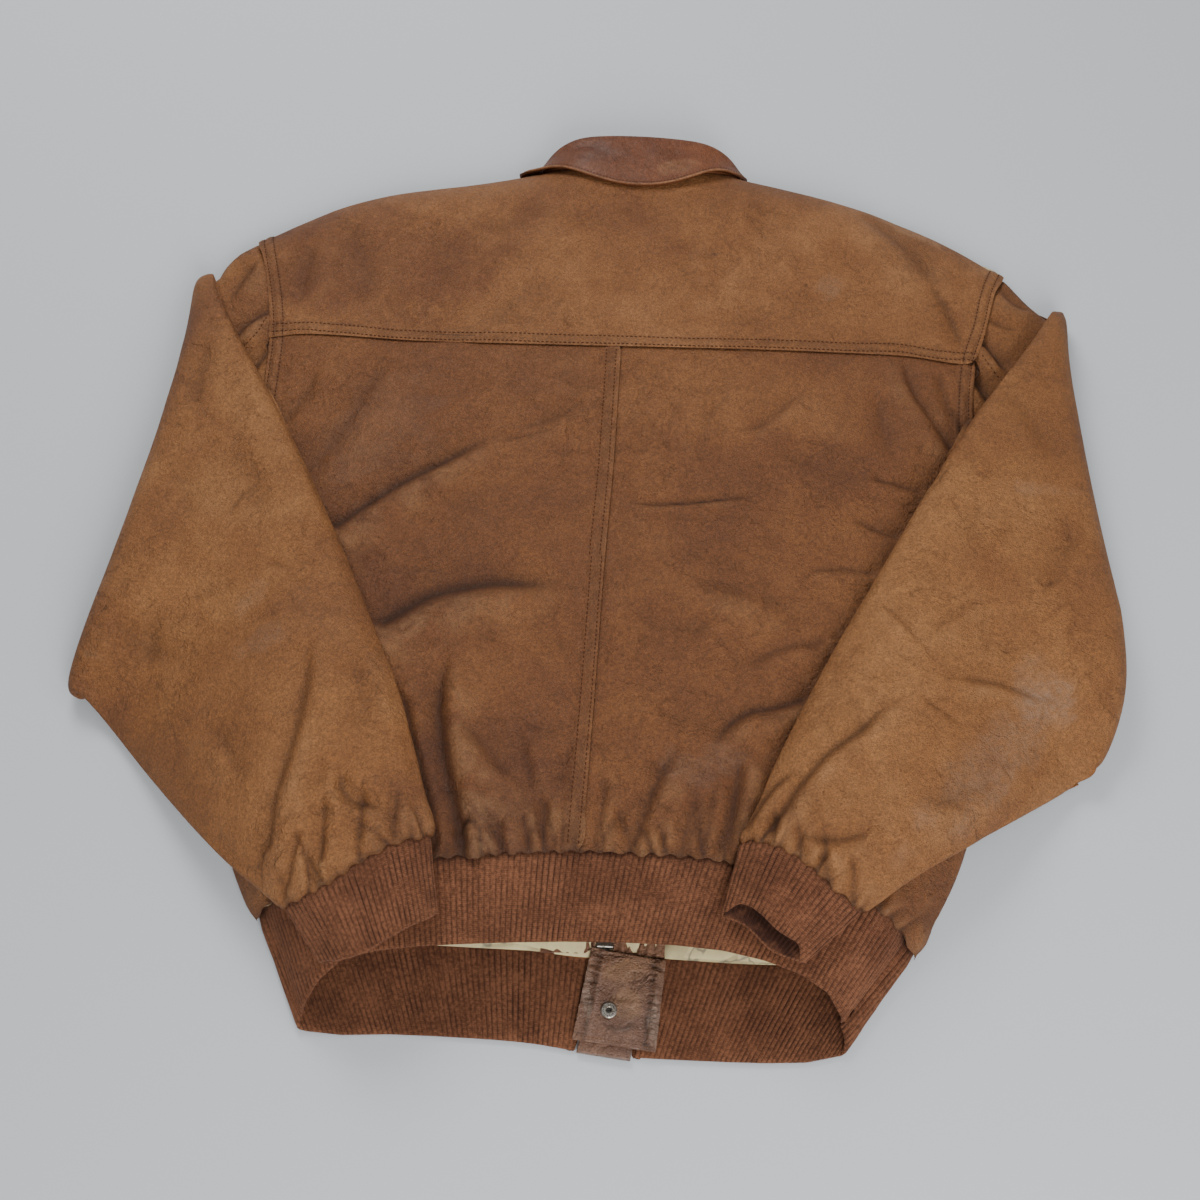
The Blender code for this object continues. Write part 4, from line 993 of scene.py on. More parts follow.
@dataclass(frozen=True)
class Lap:
    """A lapped seam: the cloth on the left of its line lies on top, puckered by two rows of stitches.

    Attributes:
        line: The seam.
        width: How far in from the line the second row of stitches runs.
        height, sink: How high the doubled cloth stands, and how deep a row of stitches draws it in.
        over, under: How far the upper cloth reaches over the lower one, and that one under it.
    """

    line: Line
    width: float = 7.6
    height: float = 1.2
    sink: float = 0.6
    over: float = 2.0
    under: float = 3.0

    def on_top(self, near: NearLine) -> bool:
        """Tells whether a panel is the upper cloth, from where its points lie beside the line."""
        close = (np.abs(near.beside) < 40.0) & (near.share > 0.02) & (near.share < 0.98)
        return bool(close.any()) and float(np.median(near.beside[close])) > 0.0

    def shape(self, plan: Array) -> Arrays:
        """Works out the seam's relief.

        Args:
            plan: Plan points, in millimetres.

        Returns:
            Each point's rise, in millimetres, and how dark it is painted: grime and painted shade.
        """
        near = near_line(plan, dense(self.line))
        beside = near.beside
        inside = (beside > -10.0) & (beside < self.width + 12.0)
        band = smooth_step((self.width + 2.4 - beside) / 3.0) * (1 + 0.35 * bell(beside / 2.0))
        first, second = bell((beside - 2.6) / 1.2), bell((beside - self.width) / 1.2)
        pucker = 0.22 * np.sin(near.along * 2 * math.pi / 6.3 + 1.5 * np.sin(near.along / 17.0))
        pucker *= bell((beside - 0.6 * self.width) / (0.45 * self.width))
        upper = self.height * band - self.sink * (first + second) + pucker
        # Grime and painted shade along the upper cloth's rows of stitches, and a painted shadow on the lower
        # cloth under the upper one's edge.
        if self.on_top(near):
            rise, soil_and_shade = upper, 0.35 * first + 0.45 * second
        else:
            rise, soil_and_shade = -1.6 * smooth_step((beside + 7.0) / 6.0), bell((beside + 1.2) / 2.4)
        return np.where(inside, rise, 0.0), np.where(inside, soil_and_shade, 0.0)

    def bound(self, plan: Array, rise: Array) -> Array:
        """Returns the rise kept so that no crease brings the lower cloth through the upper one."""
        near = near_line(plan, dense(self.line))
        if self.on_top(near):
            strip = smooth_step((self.width + 9.0 - near.beside) / 6.0)
            strip = strip * smooth_step((near.beside + 4.0) / 3.0)
            return np.maximum(rise, -0.1 - 9.0 * (1.0 - strip))
        strip = smooth_step((near.beside + 4.0) / 4.0) * (near.beside < 30.0)
        return np.minimum(rise, 9.0 * (1.0 - strip) - 1.1)

    def slide(self, plan: Array) -> Array:
        """Returns how far the upper cloth moves over the lower one, and that one under it."""
        near, right = beside_and_right(plan, self.line)
        if self.on_top(near):
            amount = self.over * smooth_step((8.0 - near.beside) / 7.0)
        else:
            amount = -self.under * smooth_step((near.beside + 9.0) / 8.0)
        ends = smooth_step(near.share * 60.0) * smooth_step((1.0 - near.share) * 60.0)
        return right * (amount * ends * (np.abs(near.beside) < 20.0))[:, None]


@dataclass(frozen=True)
class Patch:
    """A stretch of hide whose colour differs, soft edged.

    Attributes:
        mask: The value that it adds to: tint; rub, for wear and painted highlights; grey, for grey wear and
            painted sheen; or hollow, for grime and painted shade.
        middle: Its centre.
        size: Its half length and half width.
        turn: How far its length is turned from X, in degrees.
        amount: How much it adds.
        ragged: How uneven its edge is, from 0 to 1.
    """

    mask: str
    middle: Point
    size: Point
    turn: float
    amount: float
    ragged: float = 0.5

    def cover(self, plan: Array, rough: Array) -> Array:
        """Works out how much of the patch lies at each point.

        Args:
            plan: Plan points, in millimetres.
            rough: Noise at the same points.

        Returns:
            The values to add.
        """
        turn = math.radians(self.turn)
        offset = plan - np.array(self.middle)
        along = offset @ np.array([math.cos(turn), math.sin(turn)]) / self.size[0]
        across = offset @ np.array([-math.sin(turn), math.cos(turn)]) / self.size[1]
        distance = np.hypot(along, across) + self.ragged * rough
        return self.amount * smooth_step((1.25 - distance) / 0.6)


@dataclass(frozen=True)
class Shift:
    """A place where the cloth as a whole lies a little off its node.

    Attributes:
        middle: Its centre on the plan.
        size: Its half length and half width.
        move: How far it moves, in millimetres.
    """

    middle: Point
    size: Point
    move: tuple[float, float, float]

    def moved(self, plan: Array) -> Array:
        """Returns how far each point moves, in millimetres."""
        offset = (plan - np.array(self.middle)) / np.array(self.size)
        return bell(np.hypot(offset[:, 0], offset[:, 1]))[:, None] * np.array(self.move)


# ---- cloth pieces


@dataclass
class Cut:
    """The flat cut of a sheet of cloth, and how it lies.

    Attributes:
        size: Its width and length, in metres.
        share: Its area as a share of that rectangle.
        held: One of the frame's words for how cloth is held.
    """

    size: tuple[float, float]
    share: float = 1.0
    held: str = "laid"

    def declare(self, piece: Piece) -> None:
        """Does nothing with the piece; the cut is not recorded on it."""


def ride(piece: Piece, nodes: Sequence[str] = ()) -> None:
    """Puts a finished piece on the jacket's body.

    Args:
        piece: The piece.
        nodes: The nodes of the frame that it stands for.
    """
    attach(piece, BODY)
    if nodes:
        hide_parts(*nodes)
    LOG.info("%s: %d faces", piece.name, len(piece.data.polygons))


def finished(piece: Piece, finish: Finish, nodes: Sequence[str] = ()) -> Piece:
    """Gives a piece smooth shading and one finish, puts it on the body, and returns it."""
    piece.data.materials.append(finish.material())
    only(piece)
    bpy.ops.object.shade_smooth()
    ride(piece, nodes)
    return piece


@dataclass
class Panel:
    """A cut panel of hide or cloth that takes its form from its node.

    Attributes:
        node: The node that it stands for.
        finish, lining: What its outer and its inner face are made of.
        levels: How often the whole panel is divided and rounded.
        halvings: How often its faces are halved after that; all of them once, and from the
            second time on only those of the outer skin that are seen.
        folds, gathers, laps, patches: Its creases, gathered seams, lapped seams and colours.
        shifts: Where it lies off its node.
        heap: Height of the soft unevenness of the cloth, in millimetres.
        above: Lowest height, in millimetres, that is creased.
        flat_hem: How far from its border, in millimetres, the cloth's unevenness begins.
        seen_from: A point above or below which its outer skin comes first, in millimetres.
        widened: How far its border reaches under its neighbours, in millimetres.
    """

    name: str
    node: str
    finish: Finish
    cut: Cut
    lining: Finish | None = None
    levels: int = 2
    halvings: int = 2
    folds: tuple[Fold, ...] = ()
    gathers: tuple[Gather, ...] = ()
    laps: tuple[Lap, ...] = ()
    patches: tuple[Patch, ...] = ()
    shifts: tuple[Shift, ...] = ()
    heap: float = 1.2
    above: float = -50.0
    flat_hem: float = 14.0
    seen_from: tuple[float, float, float] | None = None
    widened: float = 0.0
    piece: Piece = field(default=None, init=False)

    def build(self) -> Piece:
        """Builds, creases and dresses the panel, and returns it."""
        self.piece = copy_of_node(self.node, self.name)
        self.round_off()
        self.refine()
        self.crease()
        only(self.piece)
        bpy.ops.object.shade_smooth_by_angle(angle=math.radians(50))
        ride(self.piece, [self.node])
        self.cut.declare(self.piece)
        return self.piece

    def round_off(self) -> None:
        """Tells the two skins apart, and rounds the form between its crisp edges."""
        mesh = self.piece.data
        for finish in (self.finish, self.lining or self.finish, self.finish):
            mesh.materials.append(finish.material())
        mesh.polygons.foreach_set("material_index", skins_of(mesh, self.view_point()))
        crease_sharp_edges(mesh)
        smooth = self.piece.modifiers.new("round", "SUBSURF")
        smooth.levels = smooth.render_levels = self.levels
        smooth.boundary_smooth = "PRESERVE_CORNERS"
        only(self.piece)
        bpy.ops.object.modifier_apply(modifier=smooth.name)

    def view_point(self) -> Vector:
        """Returns a point from which the outer skin is met first."""
        return Vector(self.seen_from) * MM if self.seen_from else above_top(self.piece.data)

    def refine(self) -> None:
        """Divides the outer skin finely, and the inner one less so."""
        mesh = self.piece.data
        for number in range(self.halvings):
            slots = read(mesh.polygons, "material_index", kind=np.int32)
            heights = read(mesh.polygons, "center", 3)[:, 2]
            shown = (slots != Skin.INNER.value) & (heights > (self.above - 6.0) * MM)
            self.halve(shown if number else np.ones(len(slots), bool))
        chosen = np.zeros(len(mesh.vertices), bool)
        for face in np.flatnonzero(on_outer_skin(mesh)).tolist():
            chosen[list(mesh.polygons[face].vertices)] = True
        set_mask(mesh, "outer", chosen.astype(float))
        self.relax(chosen)

    def halve(self, chosen: Array) -> None:
        """Divides each chosen face into four."""
        with editing(self.piece):
            bpy.ops.mesh.select_mode(type="FACE")
            bpy.ops.mesh.select_all(action="DESELECT")
        self.piece.data.polygons.foreach_set("select", chosen)
        with editing(self.piece, False):
            bpy.ops.mesh.subdivide(number_cuts=1)

    def relax(self, chosen: Array) -> None:
        """Evens out the facets left by the division, away from the panel's edges."""
        mesh = self.piece.data
        points = coordinates(mesh)
        ends = read(mesh.edges, "vertices", 2, np.int32)
        inside = chosen.copy()
        crossing = chosen[ends[:, 0]] != chosen[ends[:, 1]]
        inside[ends[crossing].reshape(-1)] = False
        for _ in range(3):
            total, count = np.zeros_like(points), np.zeros(len(points))
            for a, b in ((0, 1), (1, 0)):
                np.add.at(total, ends[:, a], points[ends[:, b]])
                np.add.at(count, ends[:, a], 1)
            average = total / np.maximum(count, 1)[:, None]
            points[inside] += 0.5 * (average - points)[inside]
        set_coordinates(mesh, points)

    def relief(self, plan: Array) -> Arrays:
        """Adds up the panel's creases and seams.

        Args:
            plan: Plan points, in millimetres.

        Returns:
            Each point's rise, in millimetres, and how dark it is painted: grime and painted shade.
        """
        rise, soil_and_shade = np.zeros(len(plan)), np.zeros(len(plan))
        for feature in (*self.folds, *self.gathers, *self.laps):
            more, darker = feature.shape(plan)
            rise += more
            soil_and_shade += darker
        for seam in self.laps:
            rise = seam.bound(plan, rise)
        for seam in self.gathers:
            rise = np.maximum(rise, seam.least(plan))
        return rise, soil_and_shade

    def crease(self) -> None:
        """Presses the creases into both skins, and colours the hide by them, with painted shade in the
        creases and painted highlights on raised places.
        """
        mesh = self.piece.data
        points, ways = coordinates(mesh), read(mesh.vertex_normals, "vector", 3)
        outer = read(mesh.attributes["outer"].data, "value", kind=np.float32)
        plan = points[:, :2] / MM
        rise, soil_and_shade = self.relief(plan)
        edge = self.from_edge(points)
        calm = smooth_step(edge / self.flat_hem)
        broad = soft_noise(points, 0.085, 1.0) + 0.5 * soft_noise(points, 0.038, 2.0)
        fine = soft_noise(points * np.array([1.0, 1.3, 1.0]), 0.014, 3.0)
        active = smooth_step((points[:, 2] / MM - self.above) / 8.0)
        for seam in (*self.laps, *self.gathers):
            points[:, :2] += seam.slide(plan) * MM
        for shift in self.shifts:
            points += shift.moved(plan) * MM
        if self.widened:
            points += self.grown(points, ways) * MM
        way = ways * np.where(outer > 0.5, 1.0, -1.0)[:, None]
        lift = active * (rise + calm * (self.heap * broad + 0.16 * self.heap * fine))
        inside = (outer < 0.5) & (self.lining is not None)
        drawn_in = 2.4 * smooth_step(edge / 5.0) * smooth_step((50.0 - edge) / 20.0)
        sunk = active * (1.2 * calm + 0.5 * np.clip(-rise, 0.0, 5.0) + drawn_in)
        lift = np.where(inside, lift - sunk, lift)
        points += way * (lift * MM)[:, None]
        points[:, 2] = np.maximum(points[:, 2], 0.0)
        set_coordinates(mesh, points)
        rough = soft_noise(points, 0.022, 4.0) + 0.5 * soft_noise(points, 0.009, 5.0)
        values = {name: np.zeros(len(points)) for name in MASKS}
        # Grime and painted shade in creases, pleats and seams.
        values["hollow"] += active * np.clip(soil_and_shade, 0, 1)
        # Wear and painted highlights: lighter where the cloth stands raised.
        values["rub"] += np.clip(active * (lift / 12.0) * (0.6 + rough), 0, 0.25)
        for patch in self.patches:
            values[patch.mask] += patch.cover(plan, rough) * (points[:, 2] / MM > self.above)
        for name, value in values.items():
            set_mask(mesh, name, value)

    def grown(self, points: Array, ways: Array) -> Array:
        """Works out how the cloth near the border moves outwards, along itself.

        Args:
            points: The panel's points.
            ways: Their normals.

        Returns:
            Each point's move, in millimetres.
        """
        mesh = self.piece.data
        loop = outer_loops(mesh)[0]
        loop = resampled(np.vstack([loop, loop[:1]]), max(60, len(loop) // 2))[:-1]
        faces = np.flatnonzero(on_outer_skin(mesh)).tolist()
        skin = sorted({v for f in faces for v in mesh.polygons[f].vertices})
        inner, rim = KDTree(len(skin)), KDTree(len(loop))
        for number, index in enumerate(skin):
            inner.insert(points[index], number)
        for number, place in enumerate(loop):
            rim.insert(place, number)
        inner.balance()
        rim.balance()
        along = unit(np.roll(loop, -2, axis=0) - np.roll(loop, 2, axis=0))
        near = ([co[:] for co, _, _ in inner.find_range(place, 9 * MM)] for place in loop)
        out = np.array([place - np.mean(found or [place], axis=0) for place, found in zip(loop, near)])
        out = unit(smoothed(out - along * (out * along).sum(1)[:, None], 6, True))
        move = np.zeros_like(points)
        for number, place in enumerate(points):
            _, nearest, away = rim.find(place)
            if away < 8 * MM and place[2] < 26 * MM:
                share = (1.0 - away / (8 * MM)) * min(1.0, (26.0 - place[2] / MM) / 6.0)
                move[number] = out[nearest] * self.widened * share * share * (3 - 2 * share)
        return move

    def from_edge(self, points: Array) -> Array:
        """Returns each point's plan distance, in millimetres, from the panel's border."""
        loop = outer_loops(self.piece.data)[0]
        closed = np.vstack([loop, loop[:1]])[:, :2] / MM
        coarse = resampled(closed, max(24, len(closed) // 6))
        return np.abs(near_line(points[:, :2] / MM, coarse).beside)


# ---- rib knit


def matched(first: Array, second: Array, anchors: Sequence[tuple[int, int]], step: float) -> Arrays:
    """Resamples two lines so that they share their columns between given anchor points.

    Args:
        first: One line's points.
        second: The other's.
        anchors: Pairs of point numbers that face each other, from start to end.
        step: Distance between columns, along the mean of the two lines.

    Returns:
        Both lines, with as many points each.
    """
    rows = [[], []]
    for (a0, b0), (a1, b1) in zip(anchors, anchors[1:]):
        spans = first[a0:a1 + 1], second[b0:b1 + 1]
        length = 0.5 * sum(along_curve(span)[-1] for span in spans)
        count = max(2, int(round(length / step)) + 1)
        for row, span in zip(rows, spans):
            row.append(resampled(span, count)[:-1])
    return np.vstack([*rows[0], first[anchors[-1][0]]]), np.vstack([*rows[1], second[anchors[-1][1]]])


def smoothed(points: Array, rounds: int, closed: bool) -> Array:
    """Evens out a line's points, whose ends stay unless it is closed.

    Args:
        points: The line's points.
        rounds: How often they are evened out.
        closed: Whether its end meets its start.

    Returns:
        The new points.
    """
    for _ in range(rounds):
        middle = (np.roll(points, 1, axis=0) + np.roll(points, -1, axis=0)) / 2
        if not closed:
            middle[0], middle[-1] = points[0], points[-1]
        points = 0.5 * points + 0.5 * middle
    return points


@dataclass
class RibBand:
    """A band of rib knit, ribbed on both faces, from its seam to its soft folded edge.

    Attributes:
        node: The node that it stands for, from whose border its form is taken.
        tube: True for a cuff, whose ends meet.
        pitch, depth: The ribs' distance and depth.
        wall: Its thickness, folded double.
        steps: How many columns each rib has.
        rows: How many rows it has from seam to edge.
        seed: Where its unevenness starts.
        corners: Plan places of an open band's ends: seam, edge, edge, seam.
        rim: How far its edge line lies within its outer face, in millimetres.
        mouth: How far a cuff's upper and lower rims draw back, in millimetres.
    """

    name: str
    node: str
    cut: Cut
    tube: bool
    pitch: float = 3.9
    depth: float = 1.0
    wall: float = 3.6
    steps: int = 8
    rows: int = 15
    seed: float = 1.0
    corners: tuple[Point, ...] = ()
    rim: float = 0.0
    mouth: tuple[float, ...] = ()

    def build(self) -> Piece:
        """Builds and dresses the band, and returns it."""
        seam, edge = self.borders()
        piece = finished(self.closed_wall(*self.sheet(seam, edge)), RIB_KNIT, [self.node])
        self.cut.declare(piece)
        return piece

    def borders(self) -> Arrays:
        """Returns the outer skin's seam line and edge line, column for column."""
        source = copy_of_node(self.node, "band_form")
        outer = np.flatnonzero(skins_of(source.data, above_top(source.data)) == Skin.OUTER.value)
        loops = border_loops(source.data, set(outer.tolist()))
        bpy.data.objects.remove(source)
        step = self.pitch * MM / self.steps
        return self.tube_borders(loops, step) if self.tube else self.strip_borders(loops[0], step)

    def tube_borders(self, loops: list[Array], step: float) -> Arrays:
        """Matches a cuff's two rings, which start at their left edges."""
        high, low = sorted(loops[:2], key=lambda p: -p[:, 1].mean())
        rings = []
        for ring in (high, low):
            area = np.roll(ring, -1, axis=0) - ring
            turning = (ring[:, 0] * area[:, 2] - ring[:, 2] * area[:, 0]).sum()
            ring = ring if turning < 0 else ring[::-1]
            ring = np.roll(ring, -int(np.argmin(ring[:, 0])), axis=0)
            rings.append(np.vstack([ring, ring[:1]]))
        far = [int(np.argmax(ring[:, 0])) for ring in rings]
        anchors = [(0, 0), (far[0], far[1]), (len(rings[0]) - 1, len(rings[1]) - 1)]
        return matched(rings[0], rings[1], anchors, step)

    def strip_borders(self, loop: Array, step: float) -> Arrays:
        """Matches the waistband's seam line and hem line, which run from left to right."""
        places = [int(np.argmin(np.linalg.norm(loop[:, :2] / MM - np.array(c), axis=1) + loop[:, 2] / MM))
                  for c in self.corners]
        loop = np.roll(loop, -places[0], axis=0)
        ends = [(p - places[0]) % len(loop) for p in places]
        if ends[1] > ends[3]:
            loop = np.roll(loop[::-1], 1, axis=0)
            ends = [(-e) % len(loop) for e in ends]
        hem = loop[ends[1]:ends[2] + 1]
        seam = np.vstack([loop[ends[3]:], loop[:1]])[::-1]
        turns = [(int(np.argmin(p[:, 0])), int(np.argmax(p[:, 0]))) for p in (seam, hem)]
        anchors = [(0, 0), (turns[0][0], turns[1][0]), (turns[0][1], turns[1][1]),
                   (len(seam) - 1, len(hem) - 1)]
        return matched(seam, hem, anchors, step)

    def sheet(self, seam: Array, edge: Array) -> Arrays:
        """Fills the borders with rows.

        Args:
            seam: The seam line's points.
            edge: The edge line's points, as many.

        Returns:
            The rows, and each column's distance round the band, in metres.
        """
        if self.tube:
            seam, edge = seam[:-1], edge[:-1]
        seam, edge = smoothed(seam, 40, self.tube), smoothed(edge, 40, self.tube)
        shares = np.linspace(0, 1, self.rows)[:, None, None]
        rows = seam[None] * (1 - shares) + edge[None] * shares
        rows = rows + self.frame_of(rows) * shares * self.rim * MM
        if self.mouth:
            rows = self.opened(rows)
        under = rows[0] + unit(rows[0] - rows[1]) * 4.0 * MM
        rows = np.concatenate([under[None], rows])
        middle = rows[self.rows // 2]
        closed = np.vstack([middle, middle[:1]]) if self.tube else middle
        return rows, along_curve(closed)[:rows.shape[1]]

    def opened(self, rows: Array) -> Array:
        """Returns a cuff's rows with its upper and lower rims drawn back as far as its mouth says."""
        back = unit(rows[0] - rows[-1])
        low, high = rows[-1][:, 2].min(), rows[-1][:, 2].max()
        upper = smooth_step((rows[-1][:, 2] - low) / (high - low) * 2.0 - 0.5)
        amount = upper * self.mouth[0] + (1.0 - upper) * self.mouth[1]
        shares = np.linspace(0, 1, len(rows))[:, None, None] ** 2
        return rows + back[None] * (shares * amount[None, :, None] * MM)

    def frame_of(self, rows: Array) -> Array:
        """Returns the outward way at each point."""
        if self.tube:
            across = np.roll(rows, -4, axis=1) - np.roll(rows, 4, axis=1)
        else:
            across = np.gradient(rows, axis=1)
        way = unit(np.cross(np.gradient(rows, axis=0), across))
        highest = np.unravel_index(np.argmax(rows[..., 2]), rows.shape[:2])
        return way if way[highest][2] > 0 else -way

    def closed_wall(self, rows: Array, around: Array) -> Piece:
        """Gives the rows their ribs, thickness and rounded edge, as one closed mesh.

        Args:
            rows: The outer skin's points, row by row.
            around: Each column's distance round the band, in metres.

        Returns:
            The new piece.
        """
        ways = self.frame_of(rows)
        count = max(1, round((around[-1] + (around[1] - around[0])) / (self.pitch * MM)))
        turn = around / (around[-1] + (around[1] - around[0])) * count * math.pi
        rib = np.abs(np.sin(turn))[None, :] ** 0.6
        shares = np.linspace(0, 1, len(rows))
        flat = rows.reshape(-1, 3)
        uneven = soft_noise(flat, 0.045, self.seed).reshape(rows.shape[:2])
        uneven = uneven + 0.35 * soft_noise(flat, 0.014, self.seed + 3).reshape(rows.shape[:2])
        flatter = np.interp(np.arange(len(rows)), (0, 1, 2, 3), (0.25, 0.45, 0.75, 1.0))[:, None]
        depth = self.depth * MM * flatter
        plump = np.sin(np.pi * np.clip(shares, 0, 1)) ** 0.5
        lift = MM * uneven * plump[:, None]
        squeeze = np.interp(np.arange(len(rows)), (0, 1, 2, 3), (2.4, 1.8, 0.8, 0.0))[:, None] * MM
        outer = rows + ways * (lift - squeeze - depth * (1 - rib))[..., None]
        inner = rows - ways * (self.wall * MM - lift - depth * (1 - rib))[..., None]
        edge_way = unit(rows[-1] - rows[-2])
        tip = 0.5 * (outer[-1] + inner[-1]) + edge_way * 1.4 * MM
        near_out = 0.75 * outer[-1] + 0.25 * inner[-1] + edge_way * 1.1 * MM
        near_in = 0.25 * outer[-1] + 0.75 * inner[-1] + edge_way * 1.1 * MM
        stack = np.concatenate([outer, near_out[None], tip[None], near_in[None], inner[::-1]])
        stack[..., 2] = np.maximum(stack[..., 2], 0.0)
        levels, columns = stack.shape[:2]
        faces, number = [], np.arange(levels * columns).reshape(levels, columns)
        spans = columns if self.tube else columns - 1
        for level in range(levels):
            under = (level + 1) % levels
            for c in range(spans):
                n = (c + 1) % columns
                faces.append((number[level, c], number[level, n], number[under, n], number[under, c]))
        if not self.tube:
            for c, way in ((0, 1), (columns - 1, -1)):
                faces.append(tuple(number[:, c][::way]))
        piece = new_piece(self.name, stack.reshape(-1, 3), faces)
        self.map(piece, stack, around, rib)
        return self.facing_out(piece)

    def map(self, piece: Piece, stack: Array, around: Array, rib: Array) -> None:
        """Maps U round the band and V down its ribs, in metres, and paints shade into the valleys, along the
        seam and inside a cuff's mouth.

        Args:
            piece: The band.
            stack: Its points, row by row, round both faces.
            around: Each column's distance round the band.
            rib: How high each column stands, from 0 between two ribs to 1 on a rib.
        """
        mesh = piece.data
        down = np.concatenate([np.zeros((1, stack.shape[1])),
                               np.cumsum(np.linalg.norm(np.diff(stack, axis=0), axis=2), axis=0)])
        places = np.stack([np.broadcast_to(around, down.shape), down], 2).reshape(-1, 2)
        corners = read(mesh.loops, "vertex_index", kind=np.int32)
        mesh.uv_layers.new(name="UVMap").data.foreach_set("uv", places[corners].reshape(-1))
        valley = np.broadcast_to((1 - rib) ** 1.5, down.shape).copy()
        # Painted shadow on the rows at the seam, under the hide's edge.
        for row, dark in enumerate((1.0, 0.85, 0.30)):
            valley[row] = np.maximum(valley[row], dark)
        # Painted shade inside a cuff's mouth.
        if self.mouth:
            inner = valley[len(valley) // 2 + 2:]
            inner[:] = np.maximum(inner, 0.92)
        set_mask(mesh, "valley", valley.reshape(-1))

    def facing_out(self, piece: Piece) -> Piece:
        """Turns the closed wall's faces outwards."""
        with editing(piece):
            bpy.ops.mesh.normals_make_consistent(inside=False)
        work = bmesh.new()
        work.from_mesh(piece.data)
        if work.calc_volume(signed=True) < 0:
            bmesh.ops.reverse_faces(work, faces=work.faces)
            work.to_mesh(piece.data)
        work.free()
        return piece


# ---- stitches


@dataclass(frozen=True)
class Row:
    """A row of stitches along a line on the plan.

    Attributes:
        line: The line, often a seam.
        beside: How far to its left the row runs.
        pitch: Distance from one stitch to the next.
        length: Length of a stitch.
        thick: Half thickness of the thread.
    """

    line: Line
    beside: float = 0.0
    pitch: float = 3.6
    length: float = 2.7
    thick: float = 0.42

    def places(self) -> Arrays:
        """Returns the stitches' plan middles and ways, in millimetres."""
        curve = dense(self.line)
        ways = unit(np.gradient(curve, axis=0))
        left = np.stack([-ways[:, 1], ways[:, 0]], 1)
        offset = curve + left * self.beside
        count = max(2, int(along_curve(offset)[-1] / self.pitch))
        middles = resampled(offset, count)
        return middles, unit(np.gradient(middles, axis=0))


class Ground:
    """What stitches lie on: the shown pieces, found from above."""

    def __init__(self, pieces: Sequence[Piece]) -> None:
        """Gathers the pieces' faces."""
        points: list[Vector] = []
        faces: list[list[int]] = []
        for piece in pieces:
            first = len(points)
            points += [v.co.copy() for v in piece.data.vertices]
            faces += [[first + i for i in f.vertices] for f in piece.data.polygons]
        self.tree = BVHTree.FromPolygons(points, faces)

    def under(self, x: float, y: float) -> tuple[Vector, Vector] | None:
        """Returns the point and normal below a place, or None where nothing lies there."""
        place, way, _, _ = self.tree.ray_cast(Vector((x, y, 0.2)), Vector((0, 0, -1)))
        return None if place is None else (place, way)


@dataclass
class Stitching:
    """All rows of stitches of one part of the jacket, as one piece."""

    name: str
    rows: tuple[Row, ...]
    thread: Thread

    SECTIONS = 4
    # Five rings along a stitch: place and size as shares of its half length and thickness, and height.
    PROFILE = ((-1.0, 0.35, -0.55), (-0.55, 0.95, 0.25), (0.0, 1.0, 0.45), (0.55, 0.95, 0.25),
               (1.0, 0.35, -0.55))

    def build(self, ground: Ground) -> Piece:
        """Lays a small bean of thread for each stitch on the cloth."""
        points: list[Vector] = []
        faces: list[tuple[int, ...]] = []
        for row in self.rows:
            for middle, way in zip(*row.places()):
                found = ground.under(middle[0] * MM, middle[1] * MM)
                if found is not None:
                    self.add_stitch(points, faces, row, found, Vector((way[0], way[1], 0.0)))
        return finished(new_piece(self.name, np.array([p[:] for p in points]), faces), self.thread)

    def add_stitch(self, points: list[Vector], faces: list[tuple[int, ...]], row: Row,
                   found: tuple[Vector, Vector], way: Vector) -> None:
        """Adds one stitch: five rings of four points, closed at both ends.

        Args:
            points: The points so far.
            faces: The faces so far.
            row: The stitch's row.
            found: The place it lies on, and the cloth's normal there.
            way: The way it runs.
        """
        place, up = found
        run = (way - up * way.dot(up)).normalized()
        aside = up.cross(run)
        first = len(points)
        for share, size, rise in self.PROFILE:
            centre = place + run * (0.5 * row.length * share * MM) + up * (rise * row.thick * MM)
            for k in range(self.SECTIONS):
                angle = 2 * math.pi * (k + 0.5) / self.SECTIONS
                ring = aside * math.cos(angle) + up * math.sin(angle)
                points.append(centre + ring * (row.thick * size * MM))
        faces += tube_faces(first, len(self.PROFILE), self.SECTIONS, -1)


# ---- stage


